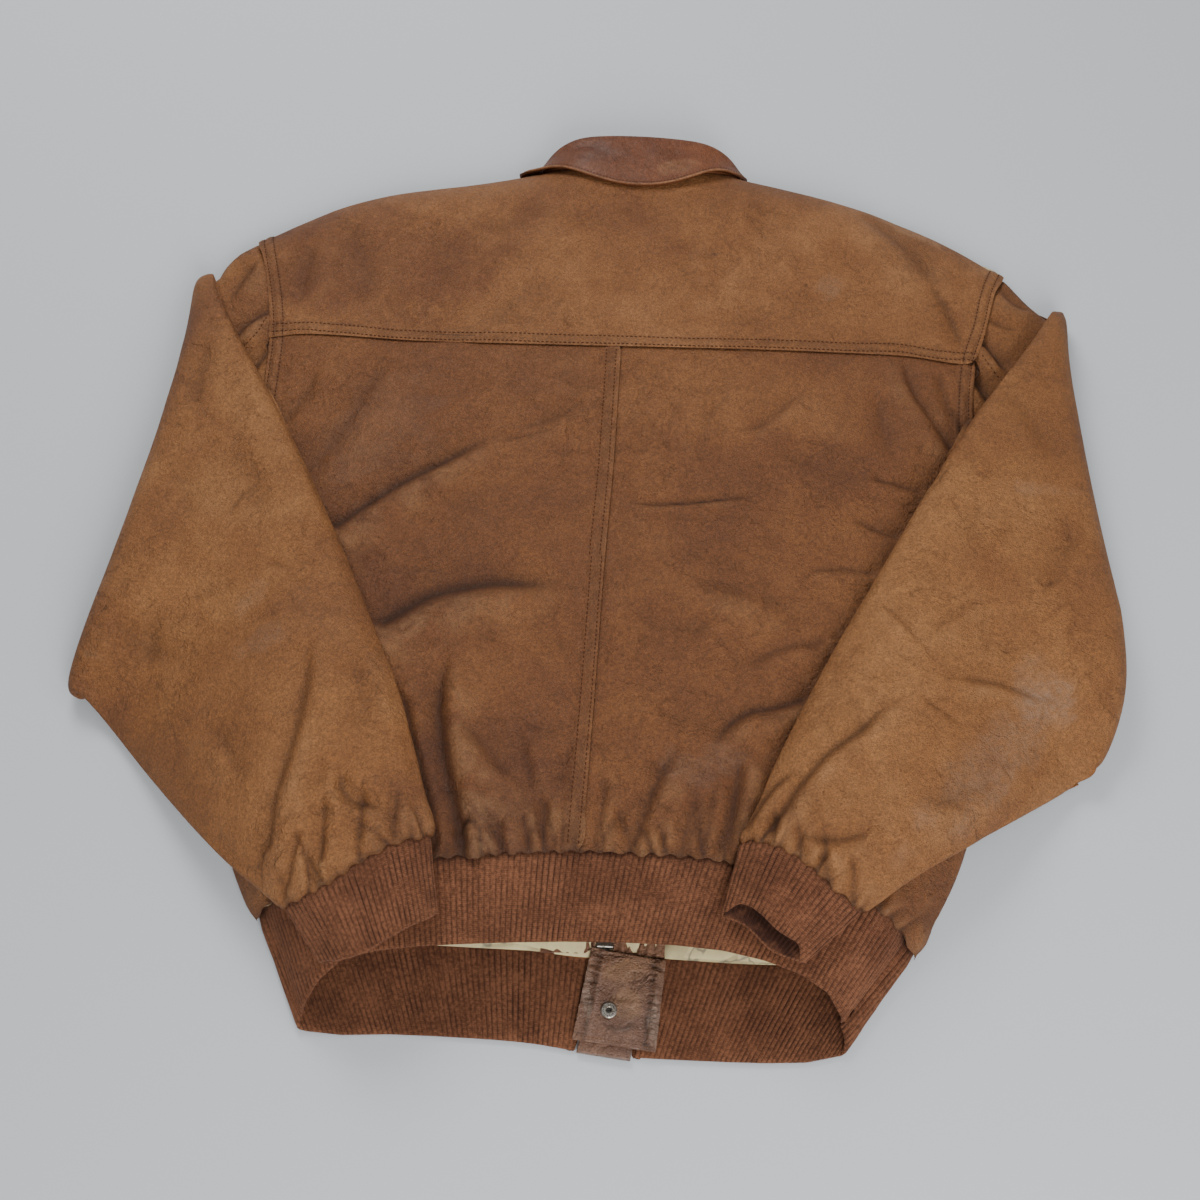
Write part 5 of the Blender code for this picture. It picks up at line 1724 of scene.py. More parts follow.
@dataclass(frozen=True)
class Stage:
    """The pale floor, the soft light and the camera, which leans away from straight down."""

    tilt: float = math.radians(28.0)
    turn: float = math.radians(2.8)
    distance: float = 1.367
    target: tuple[float, float, float] = (-0.004, -0.040, 0.0)
    lens: float = 52.5
    sensor: float = 36.0

    def build(self) -> None:
        """Builds the stage."""
        self.floor()
        self.camera()
        self.lights()

    def floor(self) -> None:
        """A wide, plain pale floor."""
        bpy.ops.object.select_all(action="DESELECT")
        bpy.ops.mesh.primitive_plane_add(size=12.0, location=(0.0, 0.0, -0.0006))
        floor = bpy.context.active_object
        floor.name = "floor"
        paint = bpy.data.materials.new("pale_floor")
        paint.use_nodes = True
        shader = paint.node_tree.nodes["Principled BSDF"]
        Graph(paint.node_tree).feed(shader, {"Base Color": rgba((0.56, 0.58, 0.60)), "Roughness": 0.85})
        floor.data.materials.append(paint)

    def camera(self) -> None:
        """The camera, at the angle from which the jacket is seen."""
        data = bpy.data.cameras.new("camera")
        data.lens, data.sensor_width = self.lens, self.sensor
        camera = placed("camera", data)
        aside = math.sin(self.tilt)
        back = Vector((math.sin(self.turn) * aside, -math.cos(self.turn) * aside, math.cos(self.tilt)))
        camera.location = Vector(self.target) + back * self.distance
        camera.rotation_euler = (self.tilt, 0.0, self.turn)
        bpy.context.scene.camera = camera

    def lights(self) -> None:
        """Soft light from a broad panel behind the collar, with two weaker ones and a pale surround."""
        panels = (
            ("key", (-0.55, 1.35, 1.45), 0.9, 27.0, (1.0, 0.985, 0.96)),
            ("fill", (1.35, -0.35, 1.5), 1.6, 9.0, (0.96, 0.98, 1.0)),
            ("front", (0.35, -1.55, 1.1), 1.0, 31.0, (1.0, 1.0, 1.0)),
        )
        for name, place, size, power, colour in panels:
            data = bpy.data.lights.new(name, "AREA")
            data.size, data.energy, data.color = size, power, colour
            lamp = placed(name, data)
            lamp.location = place
            lamp.rotation_euler = (-Vector(place)).to_track_quat("-Z", "Y").to_euler()
        world = bpy.data.worlds.new("surround")
        world.use_nodes = True
        sky = world.node_tree.nodes["Background"]
        Graph(world.node_tree).feed(sky, {"Color": rgba((0.92, 0.95, 1.0)), "Strength": 0.36})
        bpy.context.scene.world = world


# ---- the jacket's tables

# Seams on the plan, which panels, creases and stitches share. The upper cloth is on their left.
YOKE_SEAM: Line = (
    (-293, 180), (-264, 183), (-229, 179), (-179, 173), (-96, 172), (-47, 172), (0, 173), (67, 174),
    (116, 176), (190, 178), (231, 181), (260, 179), (291, 180),
)
CENTRE_SEAM: Line = ((-9, -261), (-6, -151), (-4, -35), (-1, 55), (0, 172))
LEFT_ARMHOLE: Line = ((-312, 295), (-293, 224), (-285, 179), (-283, 129), (-281, 15), (-280, -80))
RIGHT_ARMHOLE: Line = (
    (288, -80), (285, 15), (284, 105), (286, 146), (291, 180), (302, 216), (311, 254), (323, 288),
)
NECK_SEAM: Line = ((-84, 385), (-76, 380), (-45, 366), (13, 359), (71, 366), (100, 383), (110, 389))
BACK_WAIST: Line = (
    (-236, -308), (-195, -286), (-111, -271), (-9, -261), (101, -263), (180, -281), (215, -297), (232, -315),
)
FALL_EDGE: Line = (
    (-93, 377), (-80, 375), (-66, 370), (-49, 361), (-23, 348), (0, 342), (30, 343), (57, 353), (71, 362),
    (86, 370), (103, 381),
)
LEFT_CUFF_SEAM: Line = ((-212, -310), (-188, -304), (-163, -286), (-138, -270), (-110, -257))
RIGHT_CUFF_SEAM: Line = ((104, -250), (127, -257), (151, -270), (171, -287), (191, -298))

YOKE_FOLDS = (
    Fold(((-262, 286), (-268, 247), (-267, 210)), 13, 2.5, 0, 0.15),
    Fold(((-236, 318), (-228, 282), (-214, 246), (-196, 208)), 15, 2, 0, 0.1),
    Fold(((-133, 172), (-83, 215), (-40, 258)), 14, 1.7, 0, 0.1, Ends.FIRST),
    Fold(((65, 298), (57, 262), (66, 228)), 12, 1.5, 0, 0.05),
    Fold(((194, 335), (236, 303), (276, 242)), 15, 3.1, 1.2, 0.2),
    Fold(((258, 262), (273, 234), (282, 205)), 7, 2.7, 0, 0.35, Ends.LAST),
    Fold(((-60, 330), (-92, 300), (-128, 283)), 13, 1.5, 0, 0.05),
    Fold(((110, 335), (128, 305), (131, 270)), 13, 1.4, 0, 0.05),
    Fold(((-10, 330), (6, 312), (34, 306)), 9, 1, 0, 0.1),
    Fold(((-176, 300), (-150, 262), (-142, 226)), 12, 1.4, 0, 0.05),
)
LEFT_BACK_FOLDS = (
    Fold(((-210, -5), (-189, 13), (-164, 33), (-142, 48), (-119, 63), (-101, 75), (-83, 85)), 9, 4.6, 2.2,
         0.5, Ends.FIRST),
    Fold(((-86, 84), (-50, 96), (-12, 124)), 6, 1.4, 0.5, 0.25),
    Fold(((-95, 72), (-66, 80), (-38, 88)), 3.2, 1.2, 0, 0.35),
    Fold(((-233, 51), (-220, 76), (-211, 98), (-199, 125), (-188, 145), (-181, 160)), 13, 2.7, 0, 0.15,
         Ends.FIRST),
    Fold(((-262, 95), (-250, 122), (-243, 152)), 9, 2.2, 0, 0.2, Ends.FIRST),
    Fold(((-146, 9), (-108, 22), (-70, 37)), 10, 1.5, 0, 0.1),
    Fold(((-163, -87), (-149, -77), (-131, -65), (-109, -58), (-79, -52), (-49, -53), (-23, -47)), 12, 5.8,
         2.7, 0.55, Ends.FIRST),
    Fold(((-152, -44), (-133, -44), (-113, -48)), 3, 1.4, 0, 0.4),
    Fold(((-36, -98), (-19, -115)), 5, 1.4, 0, 0.2),
    Fold(((-111, -104), (-115, -133), (-116, -154), (-113, -177), (-108, -201), (-103, -219), (-97, -238),
         (-90, -263)), 8, 5.4, 2.7, 0.55, Ends.LAST),
    Fold(((-141, -155), (-129, -195), (-119, -224), (-112, -246), (-107, -268)), 6, 3.7, 0, 0.5, Ends.BOTH),
    Fold(((-107, -163), (-83, -184), (-60, -210), (-48, -221)), 8, 2.5, 1, 0.2),
    Fold(((-61, -169), (-51, -190), (-45, -213), (-43, -232)), 5, 2.4, 0, 0.3),
    Fold(((-56, -169), (-37, -173), (-25, -178)), 4, 1.5, 0, 0.2),
    Fold(((-42, -217), (-33, -235), (-25, -257)), 4.5, 2.7, 0, 0.4, Ends.LAST),
    Fold(((-12, -178), (-21, -197), (-25, -227)), 4.5, 1.9, 0, 0.25),
    Fold(((-66, -243), (-61, -266)), 3.6, 3.2, 0.8, 0.5, Ends.LAST),
    Fold(((-48, -236), (-43, -266)), 3.6, 3.2, 0.8, 0.5, Ends.LAST),
    Fold(((-37, -239), (-30, -264)), 3.2, 2.5, 0, 0.45, Ends.LAST),
    Fold(((-90, -266), (-92, -254), (-87, -247), (-79, -251), (-76, -266)), 3, 3.2, 1.5, 0.6, Ends.BOTH),
    Fold(((-79, -233), (-70, -243), (-60, -251)), 3.6, 2.2, 0, 0.45),
    Fold(((-225, -150), (-190, -176), (-163, -214)), 10, 2.7, 0, 0.2),
)
RIGHT_BACK_FOLDS = (
    Fold(((6, 22), (32, 21), (63, 24), (93, 29), (122, 33)), 3, 2.5, 1.2, 0.75),
    Fold(((14, 14), (55, 12), (96, 18)), 8, 1.2, 0, 0),
    Fold(((93, 90), (116, 99), (136, 119), (155, 139)), 5, 1.9, 0.7, 0.3),
    Fold(((58, 95), (84, 116), (92, 150)), 6, 1, 0, 0.1),
    Fold(((20, 118), (37, 84), (52, 62)), 4, 0.8, 0, 0.15),
    Fold(((124, 80), (171, 60), (211, 56)), 13, 1.5, 0, 0.05),
    Fold(((198, 58), (226, 52), (241, 48)), 4.5, 2.5, 0.7, 0.45, Ends.LAST),
    Fold(((150, -32), (174, -28), (202, -29)), 4.5, 2, 0.5, 0.35, Ends.LAST),
    Fold(((186, 20), (206, 10), (221, 5)), 4.5, 2.4, 0, 0.4, Ends.LAST),
    Fold(((60, -52), (88, -47), (128, -60), (160, -88)), 11, 1.9, 0.8, 0.1),
    Fold(((103, -119), (121, -105), (140, -96), (160, -92)), 6, 2.2, 0.7, 0.25, Ends.LAST),
    Fold(((14, -70), (45, -84), (90, -84)), 11, 1.9, 0, 0.1),
    Fold(((148, -139), (129, -146), (110, -151), (96, -161), (87, -176), (83, -190)), 7, 4.1, 1.7, 0.5,
         Ends.FIRST),
    Fold(((102, -179), (103, -202), (99, -227), (92, -256)), 6, 3.6, 1.4, 0.5, Ends.LAST),
    Fold(((64, -176), (50, -197), (40, -224), (31, -255)), 6, 3.6, 1.4, 0.4, Ends.LAST),
    Fold(((75, -211), (69, -237), (63, -260)), 5, 3.1, 0.8, 0.4, Ends.LAST),
    Fold(((87, -205), (84, -231), (79, -256)), 4.5, 2.7, 0, 0.4, Ends.LAST),
    Fold(((8, -199), (7, -226), (4, -258)), 4.2, 2.5, 0.8, 0.4, Ends.LAST),
    Fold(((16, -225), (26, -252)), 3.5, 2.5, 0, 0.4, Ends.LAST),
    Fold(((44, -235), (54, -261)), 3.5, 2.5, 0, 0.4, Ends.LAST),
    Fold(((36, -150), (70, -160), (92, -150)), 9, 1.7, 0, 0.1),
    Fold(((231, 178), (242, 144), (257, 117), (270, 92)), 7, 3.2, 0.8, 0.35, Ends.LAST),
    Fold(((209, 150), (216, 102), (227, 65)), 8, 2.2, 0, 0.15),
    Fold(((262, 172), (268, 140), (277, 110)), 5, 2.5, 0, 0.35, Ends.LAST),
)
LEFT_ARM_FOLDS = (
    Fold(((-212, -110), (-211, -161), (-215, -200), (-221, -238), (-223, -275)), 7, 3.4, 1.4, 0.25,
         Ends.LAST),
    Fold(((-180, -212), (-172, -238), (-153, -246), (-137, -250)), 5, 2.9, 1.2, 0.4),
    Fold(((-135, -225), (-136, -264)), 4.5, 2.7, 0, 0.45, Ends.LAST),
    Fold(((-186, -236), (-183, -284)), 4.5, 2.9, 0.8, 0.4, Ends.LAST),
    Fold(((-160, -228), (-158, -270)), 4, 2.2, 0, 0.35, Ends.LAST),
    Fold(((-200, -262), (-205, -300)), 4, 2.2, 0, 0.35, Ends.LAST),
    Fold(((-289, -12), (-284, 2), (-278, 16)), 3.6, 1.5, 0.5, 0.35),
    Fold(((-257, -53), (-245, -57), (-233, -59)), 3.4, 1.4, 0, 0.35),
    Fold(((-232, -2), (-227, -37)), 5, 1.2, 0, 0.15),
    Fold(((-333, -81), (-338, -139), (-329, -171)), 12, 2.5, 0, 0.15),
    Fold(((-371, -95), (-340, -118), (-300, -126)), 13, 2.2, 0.8, 0.1),
    Fold(((-330, 165), (-334, 120), (-330, 78)), 12, 2, 0, 0.12),
    Fold(((-300, 60), (-270, 10), (-262, -30)), 15, 1.9, 0, 0.05),
    Fold(((-352, 40), (-330, 16), (-318, -20)), 10, 1.7, 0, 0.1),
    Fold(((-290, -175), (-262, -202), (-246, -238)), 9, 2.2, 0.7, 0.15),
    Fold(((-180, -120), (-168, -160), (-160, -196)), 9, 2, 0.7, 0.12),
)
RIGHT_ARM_FOLDS = (
    Fold(((124, -248), (141, -220), (161, -194), (183, -176), (204, -155), (227, -140)), 5, 3.2, 1.4, 0.35,
         Ends.FIRST),
    Fold(((109, -244), (124, -218), (144, -201)), 4.5, 2.5, 0.8, 0.35, Ends.FIRST),
    Fold(((242, -127), (261, -124), (292, -122), (327, -129), (350, -138)), 5, 2.2, 1, 0.25),
    Fold(((227, -140), (252, -156), (267, -164)), 4, 1.5, 0, 0.25),
    Fold(((197, -63), (218, -80), (232, -101)), 5, 1.7, 0.7, 0.2),
    Fold(((235, -99), (259, -72), (283, -57)), 6, 1.7, 0.7, 0.15),
    Fold(((327, -43), (336, -36), (344, -30)), 2.8, 1.5, 0, 0.55),
    Fold(((246, 35), (255, 50), (263, 65)), 4, 1.2, 0, 0.25),
    Fold(((140, -254), (171, -255), (199, -243)), 6, 2.7, 1, 0.3),
    Fold(((160, -262), (166, -284)), 4, 2.7, 0, 0.45, Ends.LAST),
    Fold(((142, -240), (146, -268)), 3.6, 2.4, 0, 0.45, Ends.LAST),
    Fold(((180, -262), (182, -292)), 4, 2.5, 0, 0.4, Ends.LAST),
    Fold(((126, -230), (128, -256)), 3.6, 2.2, 0, 0.4, Ends.LAST),
    Fold(((300, 150), (330, 110), (350, 60)), 14, 2.2, 0, 0.08),
    Fold(((376, 20), (350, -8), (330, -50)), 12, 2, 0, 0.1),
    Fold(((215, -225), (262, -212), (300, -184)), 11, 2.4, 0.7, 0.1),
    Fold(((170, -128), (186, -160), (196, -190)), 9, 1.9, 0, 0.1),
)
LEFT_SHOULDER_FOLDS = (
    Fold(((-310, 268), (-322, 240), (-331, 214)), 7, 2.7, 1, 0.3),
    Fold(((-296, 205), (-312, 192), (-325, 170)), 6, 3.4, 1.2, 0.5, Ends.FIRST),
    Fold(((-287, 168), (-300, 142), (-306, 118)), 6, 3.7, 0, 0.6, Ends.FIRST),
    Fold(((-328, 282), (-340, 262), (-346, 240)), 6, 2, 0, 0.25),
)
RIGHT_SHOULDER_FOLDS = (
    Fold(((300, 208), (312, 190), (324, 170)), 6, 4.1, 1.4, 0.65, Ends.FIRST),
    Fold(((291, 172), (300, 152), (312, 130)), 7, 4.8, 0, 0.8, Ends.FIRST),
    Fold(((318, 268), (332, 250), (350, 246)), 7, 2.4, 0.8, 0.3),
    Fold(((306, 230), (322, 222), (338, 222)), 6, 2, 0, 0.35),
)
LEFT_PATCHES = (
    Patch("tint", (-215, 60), (110, 90), 40, -0.9),
    Patch("grey", (-190, 70), (60, 34), 50, 0.05, 0.8),
    Patch("tint", (-60, -215), (90, 60), 0, -0.8),
    Patch("tint", (-40, -10), (60, 120), 0, 0.5),
    Patch("tint", (-125, -215), (20, 70), 0, -1.2),
)
RIGHT_PATCHES = (
    Patch("tint", (120, 130), (130, 40), 0, 1.2),
    Patch("tint", (60, 60), (60, 60), 0, 0.5),
    Patch("tint", (60, -160), (130, 80), 0, -0.8),
    Patch("grey", (80, -195), (26, 14), 20, 0.10, 0.9),
    Patch("tint", (225, 20), (30, 100), 0, -0.5),
)
YOKE_PATCHES = (
    Patch("tint", (-230, 260), (110, 60), 0, -1.6),
    Patch("tint", (20, 250), (110, 70), 0, 0.2),
    Patch("tint", (170, 260), (120, 70), 0, 1.3),
    Patch("grey", (174, 246), (13, 13), 0, 0.12, 1.0),
    Patch("hollow", (77, 272), (1.8, 1.8), 0, 0.9, 0.1),
    Patch("hollow", (154, 243), (2.2, 1.6), 0, 0.9, 0.1),
    Patch("rub", (245, 330), (40, 14), -25, 0.4),
)
LEFT_ARM_PATCHES = (
    Patch("grey", (-245, -116), (22, 10), 25, 0.12, 0.9),
    Patch("grey", (-262, -84), (16, 7), 60, 0.09, 0.9),
    Patch("tint", (-365, -60), (90, 26), 75, -1.2),
    Patch("tint", (-346, 150), (110, 22), 80, -0.8),
    Patch("tint", (-255, -20), (90, 60), 60, 0.7),
    Patch("rub", (-383, -128), (16, 10), 0, 0.15),
)
RIGHT_ARM_PATCHES = (
    Patch("grey", (285, -183), (78, 21), 49, 0.17, 0.55),
    Patch("grey", (325, -122), (28, 20), 20, 0.15, 0.6),
    Patch("grey", (330, 44), (28, 6), 8, 0.14, 0.9),
    Patch("tint", (368, -70), (90, 26), 100, -1.3),
    Patch("tint", (342, 160), (110, 20), 105, -0.8),
    Patch("tint", (215, -60), (110, 50), 60, 0.7),
    Patch("tint", (320, -215), (90, 24), 45, -0.8),
)


@dataclass(frozen=True)
class Piping:
    """A thin round edge along the border of a leaf of hide, which its middle lies a little above."""

    name: str
    finish: Finish
    radius: float
    rise: float

    def build(self, edge: Array) -> Piece:
        """Lays the edge along a border's points, given in metres."""
        path = resampled(edge, int(along_curve(edge)[-1] / (2.2 * MM)))
        path = smoothed(path, 6, False) + np.array([0.0, 0.0, self.rise * MM])
        points, sides = [], 8
        for i, place in enumerate(path):
            way = Vector(path[min(i + 1, len(path) - 1)] - path[max(i - 1, 0)]).normalized()
            aside = way.cross(Vector((0, 0, 1))).normalized()
            up = aside.cross(way)
            swell = min(1.0, 0.3 + 0.25 * min(i, len(path) - 1 - i))
            for k in range(sides):
                angle = 2 * math.pi * k / sides
                ring = (aside * math.cos(angle) + up * math.sin(angle)) * self.radius * swell * MM
                points.append(Vector(place) + ring)
        faces = tube_faces(0, len(path), sides)
        return finished(new_piece(self.name, np.array([p[:] for p in points]), faces), self.finish)


def border_beside(piece: Piece, line: Line) -> Array:
    """Follows the border of a piece's outer skin beside a line on the plan.

    Args:
        piece: The piece.
        line: A line that runs close to the wanted stretch of the border.

    Returns:
        The border's points along the line, in metres.
    """
    loop = np.vstack(outer_loops(piece.data)[:3])
    found = []
    for place in dense(line):
        away = np.linalg.norm(loop[:, :2] / MM - place, axis=1) - 0.15 * loop[:, 2] / MM
        found.append(loop[np.argsort(away)[:2]].mean(0))
    return smoothed(np.array(found), 5, False)


@dataclass
class Jacket:
    """Every piece of the jacket, in the order in which it is built."""

    pieces: dict[str, Piece] = field(default_factory=dict)

    def build(self) -> None:
        """Builds all pieces."""
        self.back()
        self.fronts()
        self.sleeves()
        self.collar()
        self.knit()
        self.tabs()
        self.metal()
        self.stitches()

    def add(self, part: Panel | RibBand) -> None:
        """Builds one piece and keeps it."""
        self.pieces[part.name] = part.build()

    def back(self) -> None:
        """The yoke and the two halves of the back."""
        yoke, centre = Lap(YOKE_SEAM), Lap(CENTRE_SEAM)
        left_hole, right_hole = Lap(LEFT_ARMHOLE), Lap(RIGHT_ARMHOLE)
        waist = Gather(BACK_WAIST, 2.3, 10.0, 21.0, 2.2, 4)
        self.add(Panel(
            "yoke", "back_yoke", YOKE_LEATHER, Cut((0.66, 0.23), 0.78), LINING, folds=YOKE_FOLDS,
            laps=(yoke, left_hole, right_hole, Lap(NECK_SEAM, under=7.0)), patches=YOKE_PATCHES, widened=3.0))
        self.add(Panel(
            "left_back", "back_left", BODY_LEATHER, Cut((0.31, 0.50), 0.85), LINING, folds=LEFT_BACK_FOLDS,
            gathers=(waist,), laps=(yoke, centre, left_hole), patches=LEFT_PATCHES))
        self.add(Panel(
            "right_back", "back_right", BODY_LEATHER, Cut((0.32, 0.50), 0.85), LINING, folds=RIGHT_BACK_FOLDS,
            gathers=(waist,), laps=(yoke, centre, right_hole), patches=RIGHT_PATCHES))

    def fronts(self) -> None:
        """The two fronts with their facings, linings and zip tapes."""
        for side in Side:
            s, way = side.value, side.sign
            pleats = tuple(Fold(((way * x + 13, -322), (way * (x + 2) + 13, -308)), 1.9, 0.9, 0.3, 0.5,
                                Ends.FIRST) for x in (9, 15, 22, 28, 35))
            self.add(Panel(
                f"{s}_front", f"front_{s}", BODY_LEATHER, Cut((0.32, 0.71), 0.83), LINING, levels=3,
                halvings=0, heap=0.0, seen_from=(way * 150.0, 0.0, -100.0)))
            self.add(Panel(
                f"{s}_facing", f"facing_{s}", FACING_LEATHER, Cut((0.039, 0.15), 0.98), levels=4, halvings=0,
                heap=0.9, flat_hem=5.0, folds=pleats))
            self.add(Panel(
                f"{s}_lining", f"lining_{s}", LINING, Cut((0.22, 0.152), 0.92), levels=4, halvings=0,
                heap=0.7, flat_hem=6.0))
            self.add(Panel(f"{s}_zip_tape", f"zip_{s}", TAPE, Cut((0.015, 0.58)), halvings=0, heap=0.0))

    def sleeves(self) -> None:
        """The sleeves, each of a front and a back panel."""
        elbow = Shift((362, -170), (9, 9), (5.5, -5.5, 0.0))
        arms = (
            (Side.LEFT, LEFT_ARMHOLE, Gather(LEFT_CUFF_SEAM, 2.2, 10.0, 20.0, 2.2, 7), LEFT_ARM_FOLDS,
             LEFT_ARM_PATCHES, LEFT_SHOULDER_FOLDS, ()),
            (Side.RIGHT, RIGHT_ARMHOLE, Gather(RIGHT_CUFF_SEAM, 2.2, 10.0, 20.0, 2.2, 11), RIGHT_ARM_FOLDS,
             RIGHT_ARM_PATCHES, RIGHT_SHOULDER_FOLDS, (elbow,)),
        )
        for side, hole, cuff, folds, patches, shoulder, bend in arms:
            s, way = side.value, side.sign
            self.add(Panel(
                f"{s}_sleeve_front", f"sleeve_{s}_front", SLEEVE_LEATHER, Cut((0.29, 0.64), 0.72),
                SLEEVE_LEATHER, above=30.0, folds=folds, gathers=(cuff,), patches=patches, heap=1.5,
                shifts=(Shift((way * 338, 268), (24, 24), (way * -2.2, -2.6, -6.0)), *bend)))
            self.add(Panel(
                f"{s}_sleeve_back", f"sleeve_{s}_back", SLEEVE_LEATHER, Cut((0.24, 0.62), 0.68),
                SLEEVE_LEATHER, above=8.0, heap=0.8, folds=shoulder, laps=(Lap(hole),),
                # Darker upper arm at the shoulder: painted shade, where the sleeve lies in partial shade.
                patches=(Patch("tint", (way * 310, 230), (80, 70), 0, -1.4),),
                shifts=(Shift((way * 336, 266), (24, 24), (way * 1.6, 1.8, 0.5)), *bend),
                seen_from=(way * 308.0, 230.0, 300.0), widened=3.2))

    def collar(self) -> None:
        """The collar's stand and fall."""
        self.add(Panel("collar_band", "collar_stand", COLLAR_LEATHER, Cut((0.30, 0.03), 0.92), levels=3,
                       halvings=0, heap=0.3))
        self.add(Panel(
            "collar_leaf", "collar_fall", COLLAR_LEATHER, Cut((0.42, 0.08), 0.8), levels=3, halvings=1,
            heap=0.7, flat_hem=8.0, shifts=(Shift((-77, 382), (8, 8), (0.0, 0.0, -3.0)),),
            folds=(Fold(((-62, 380), (-36, 386), (-12, 374)), 8, 0.7, 0.3, 0.2),
                   Fold(((20, 392), (44, 380), (70, 384)), 8, 0.6, 0.3, 0.15)),
            patches=(Patch("tint", (-24, 378), (26, 12), 0, -1.2),
                     Patch("tint", (60, 380), (30, 14), 0, 0.8),
                     Patch("rub", (44, 366), (20, 8), 20, 0.22),
                     Patch("grey", (-20, 378), (20, 7), 0, 0.08, 0.9))))

    def knit(self) -> None:
        """The waistband and the cuffs."""
        self.add(RibBand("rib_waistband", "waistband", Cut((0.90, 0.067), held="folded"), tube=False, rows=16,
                         corners=((7, -326), (-4, -390), (35, -393), (45, -326)), rim=3.4))
        for name, node, seed, mouth in (("left_rib_cuff", "cuff_left", 3.0, (-0.5, 4.0)),
                                        ("right_rib_cuff", "cuff_right", 6.0, (9.0, -2.5))):
            self.add(RibBand(name, node, Cut((0.22, 0.06), held="folded"), tube=True, seed=seed, mouth=mouth))

    def tabs(self) -> None:
        """The two halves of the tab that closes the waistband."""
        sides = (Gather(((0, -384), (9.5, -322)), 0.55, 3.6, 7.0, 0.5, 5, 0.0),
                 Gather(((50, -327), (45, -389)), 0.55, 3.6, 7.0, 0.5, 9, 0.0))
        self.add(Panel(
            "inner_tab", "tab_inner", TAB_LEATHER, Cut((0.055, 0.07)), levels=6, halvings=0, heap=0.6,
            flat_hem=3.0, gathers=sides,
            folds=(Fold(((5, -384), (12, -322)), 2.4, -0.5, 0, 0),
                   Fold(((47, -389), (51, -328)), 2.4, -0.5, 0, 0),
                   Fold(((14, -348), (24, -356), (38, -352)), 3, 0.45, 0.2, 0.4),
                   Fold(((12, -372), (26, -376), (40, -370)), 3.2, 0.4, 0.2, 0.4)),
            patches=(Patch("rub", (28, -336), (13, 8), 0, 0.35),
                     Patch("rub", (30, -358), (12, 10), 30, 0.3),
                     # Painted shade along the crease near the tab's lower end.
                     Patch("hollow", (25, -372), (18, 7), 0, 0.35, 0.8),
                     # Grey strips at the tab's sides: a painted grey-blue sheen.
                     Patch("grey", (3, -360), (3.5, 30), 8, 0.35, 0.8),
                     Patch("grey", (50, -368), (4, 22), 5, 0.35, 0.8))))
        self.add(Panel("outer_tab", "tab_outer", TAB_LEATHER, Cut((0.042, 0.067)), levels=5, halvings=0,
                       heap=0.3, flat_hem=3.0))

    def metal(self) -> None:
        """Gives snap and zip their worn steel, and adds the zip's teeth and the snap's dark eye, a dark disc
        that paints the shade in the snap's hole.
        """
        for node in ("snap_ring", "snap_cap", "zip_box", "zip_slider"):
            for place in bpy.data.objects[node].material_slots:
                place.material = STEEL.material()
        low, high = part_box("snap_ring")
        middle = (Vector(low) + Vector(high)) / 2
        bpy.ops.object.select_all(action="DESELECT")
        # A dark disc in the snap's middle: painted shade in its hole.
        bpy.ops.mesh.primitive_torus_add(
            major_segments=32, minor_segments=8, major_radius=1.5 * MM, minor_radius=1.45 * MM,
            location=middle - Vector((0.0, 0.0, 1.2 * MM)))
        eye = bpy.context.active_object
        eye.name = "snap_hole_shade"
        bpy.ops.object.transform_apply(location=True)
        finished(eye, DARK_STEEL_AND_HOLE_SHADE)
        self.beads(Vector((middle.x, middle.y, high[2])))
        self.teeth()

    def beads(self, middle: Vector) -> None:
        """A ring of small dark beads on the snap's face, each a copy of one."""
        bpy.ops.object.select_all(action="DESELECT")
        bpy.ops.mesh.primitive_ico_sphere_add(subdivisions=2, radius=0.34 * MM, location=(0.0, 0.0, 0.0))
        bead = bpy.context.active_object
        form = coordinates(bead.data)
        faces = [tuple(f.vertices) for f in bead.data.polygons]
        bpy.data.objects.remove(bead)
        points, shapes = [], []
        for number in range(18):
            angle = 2 * math.pi * number / 18
            place = middle + Vector((math.cos(angle), math.sin(angle), -0.02)) * (3.9 * MM)
            shapes += [tuple(v + len(form) * number for v in face) for face in faces]
            points.append(form + np.array(place))
        finished(new_piece("snap_beads", np.vstack(points), shapes), DARK_STEEL_AND_HOLE_SHADE)

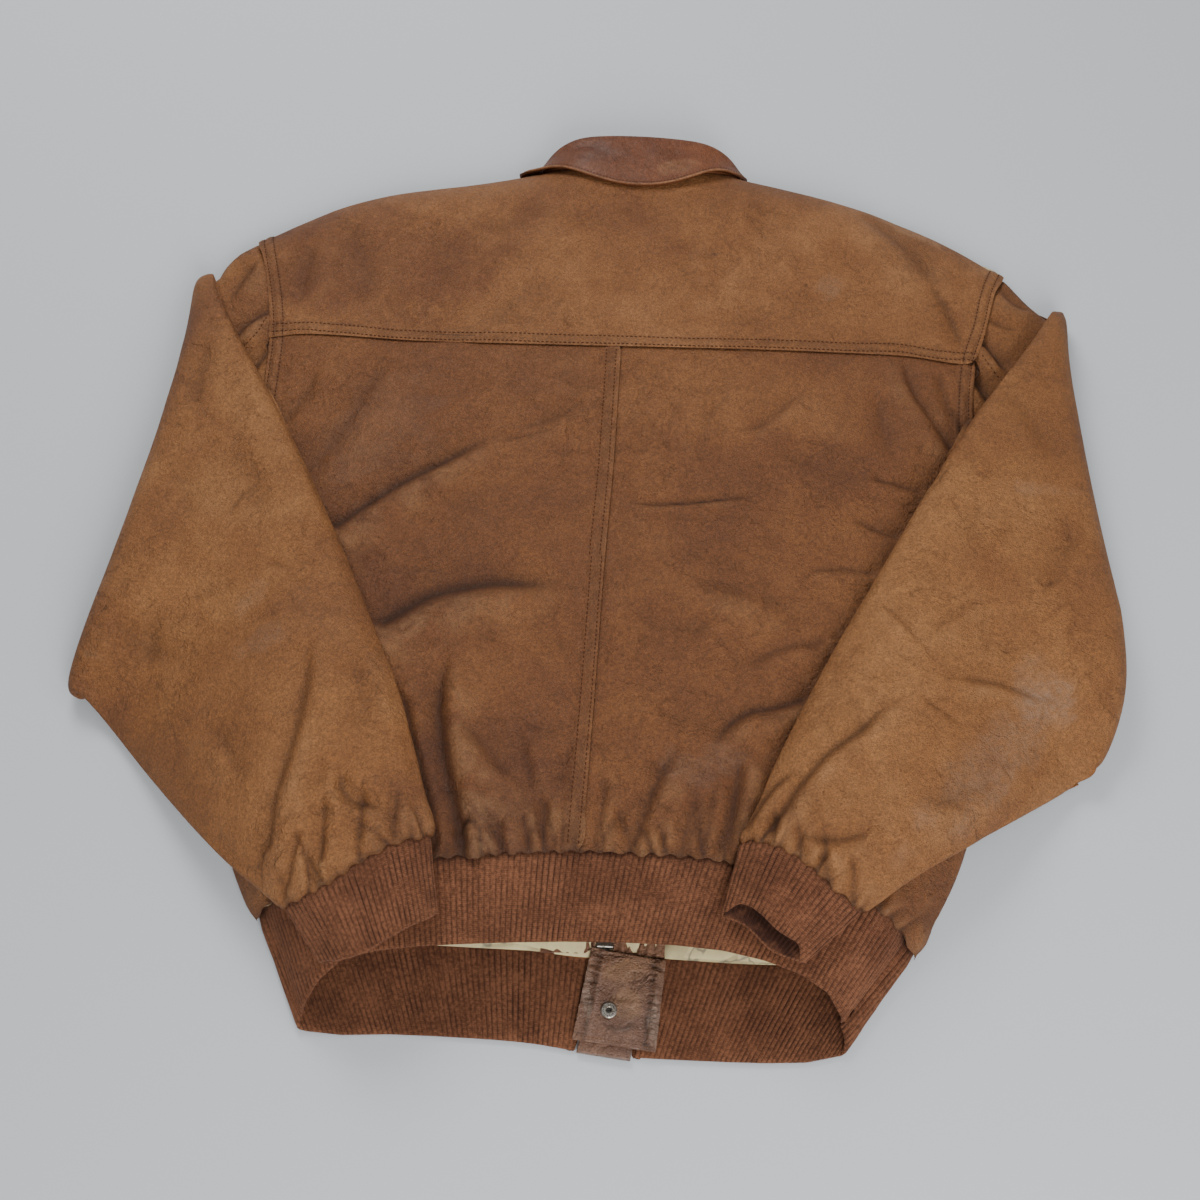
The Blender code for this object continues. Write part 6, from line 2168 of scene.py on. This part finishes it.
    def teeth(self) -> None:
        """Two rows of zip teeth that mesh at the middle of the tapes."""
        points, faces = [], []
        shape = ((-2.6, -0.55), (0.4, -0.55), (1.1, -0.9), (1.5, 0.0), (1.1, 0.9), (0.4, 0.55), (-2.6, 0.55))
        for way in (-1, 1):
            for number, y in enumerate(np.arange(-306.0, 270.0, 3.0)):
                first = len(points)
                for z in (1.9, 4.6):
                    points += [((13.0 - way * x) * MM, (y + 0.75 * way + d) * MM, z * MM) for x, d in shape]
                faces += tube_faces(first, 2, len(shape), way)
        piece = new_piece("zip_teeth", np.array(points), faces)
        piece.data.materials.append(STEEL.material())
        ride(piece)

    def stitches(self) -> None:
        """All rows of stitches, and the collar's thin edge."""
        body = Ground([self.pieces[n] for n in ("yoke", "left_back", "right_back")])
        arms = Ground([self.pieces[f"{s.value}_sleeve_back"] for s in Side])
        leaf = Ground([self.pieces["collar_leaf"]])
        tab = Ground([self.pieces["inner_tab"]])
        upper = tuple((x - 1.2, y) for x, y in ((-4, -26), (-1, 55), (0, 166)))
        lower = tuple((x + 0.4, y) for x, y in ((-9, -258), (-6, -151), (-4, -30)))
        for name, rows in (("yoke_stitches", double_rows(YOKE_SEAM)),
                           ("centre_stitches", double_rows(upper, lower)),
                           ("armhole_stitches", double_rows(LEFT_ARMHOLE, RIGHT_ARMHOLE))):
            Stitching(name, rows, BODY_THREAD).build(body)
        Stitching("sleeve_stitches", (Row(((-294, 196), (-300, 181), (-311, 166), (-320, 148))),
                                      Row(((300, 186), (309, 172), (324, 156)))), SLEEVE_THREAD).build(arms)
        edge = border_beside(self.pieces["collar_leaf"], FALL_EDGE)
        # The collar's edge is lighter leather: a painted highlight along the rolled edge.
        Piping("collar_edge", LIT_BEAD_LEATHER, 0.9, 0.35).build(edge)
        hem = tuple((x / MM, y / MM) for x, y, _ in edge[::4])
        Stitching("collar_stitches", (Row(hem, 2.8, 2.9, 2.1, 0.34),), COLLAR_THREAD).build(leaf)
        hems = ((0, -383), (9.5, -322)), ((45, -388), (50, -328)), ((-3, -382), (49, -388))
        rows = tuple(Row(line, 0, 2.6, 1.9, 0.26) for line in hems)
        Stitching("tab_stitches", rows, TAB_THREAD).build(tab)


def double_rows(*seams: Line) -> tuple[Row, ...]:
    """Returns the two rows of stitches of each lapped seam."""
    return tuple(Row(seam, beside) for seam in seams for beside in (-0.4, 7.4))


def main() -> None:
    """Builds the stage and the jacket."""
    logging.basicConfig(level=logging.INFO, format="%(name)s: %(message)s")
    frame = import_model()
    LOG.info("%d nodes of the frame", len(frame["nodes"]))
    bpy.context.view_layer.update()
    Stage().build()
    Jacket().build()


if __name__ == "__main__":
    main()
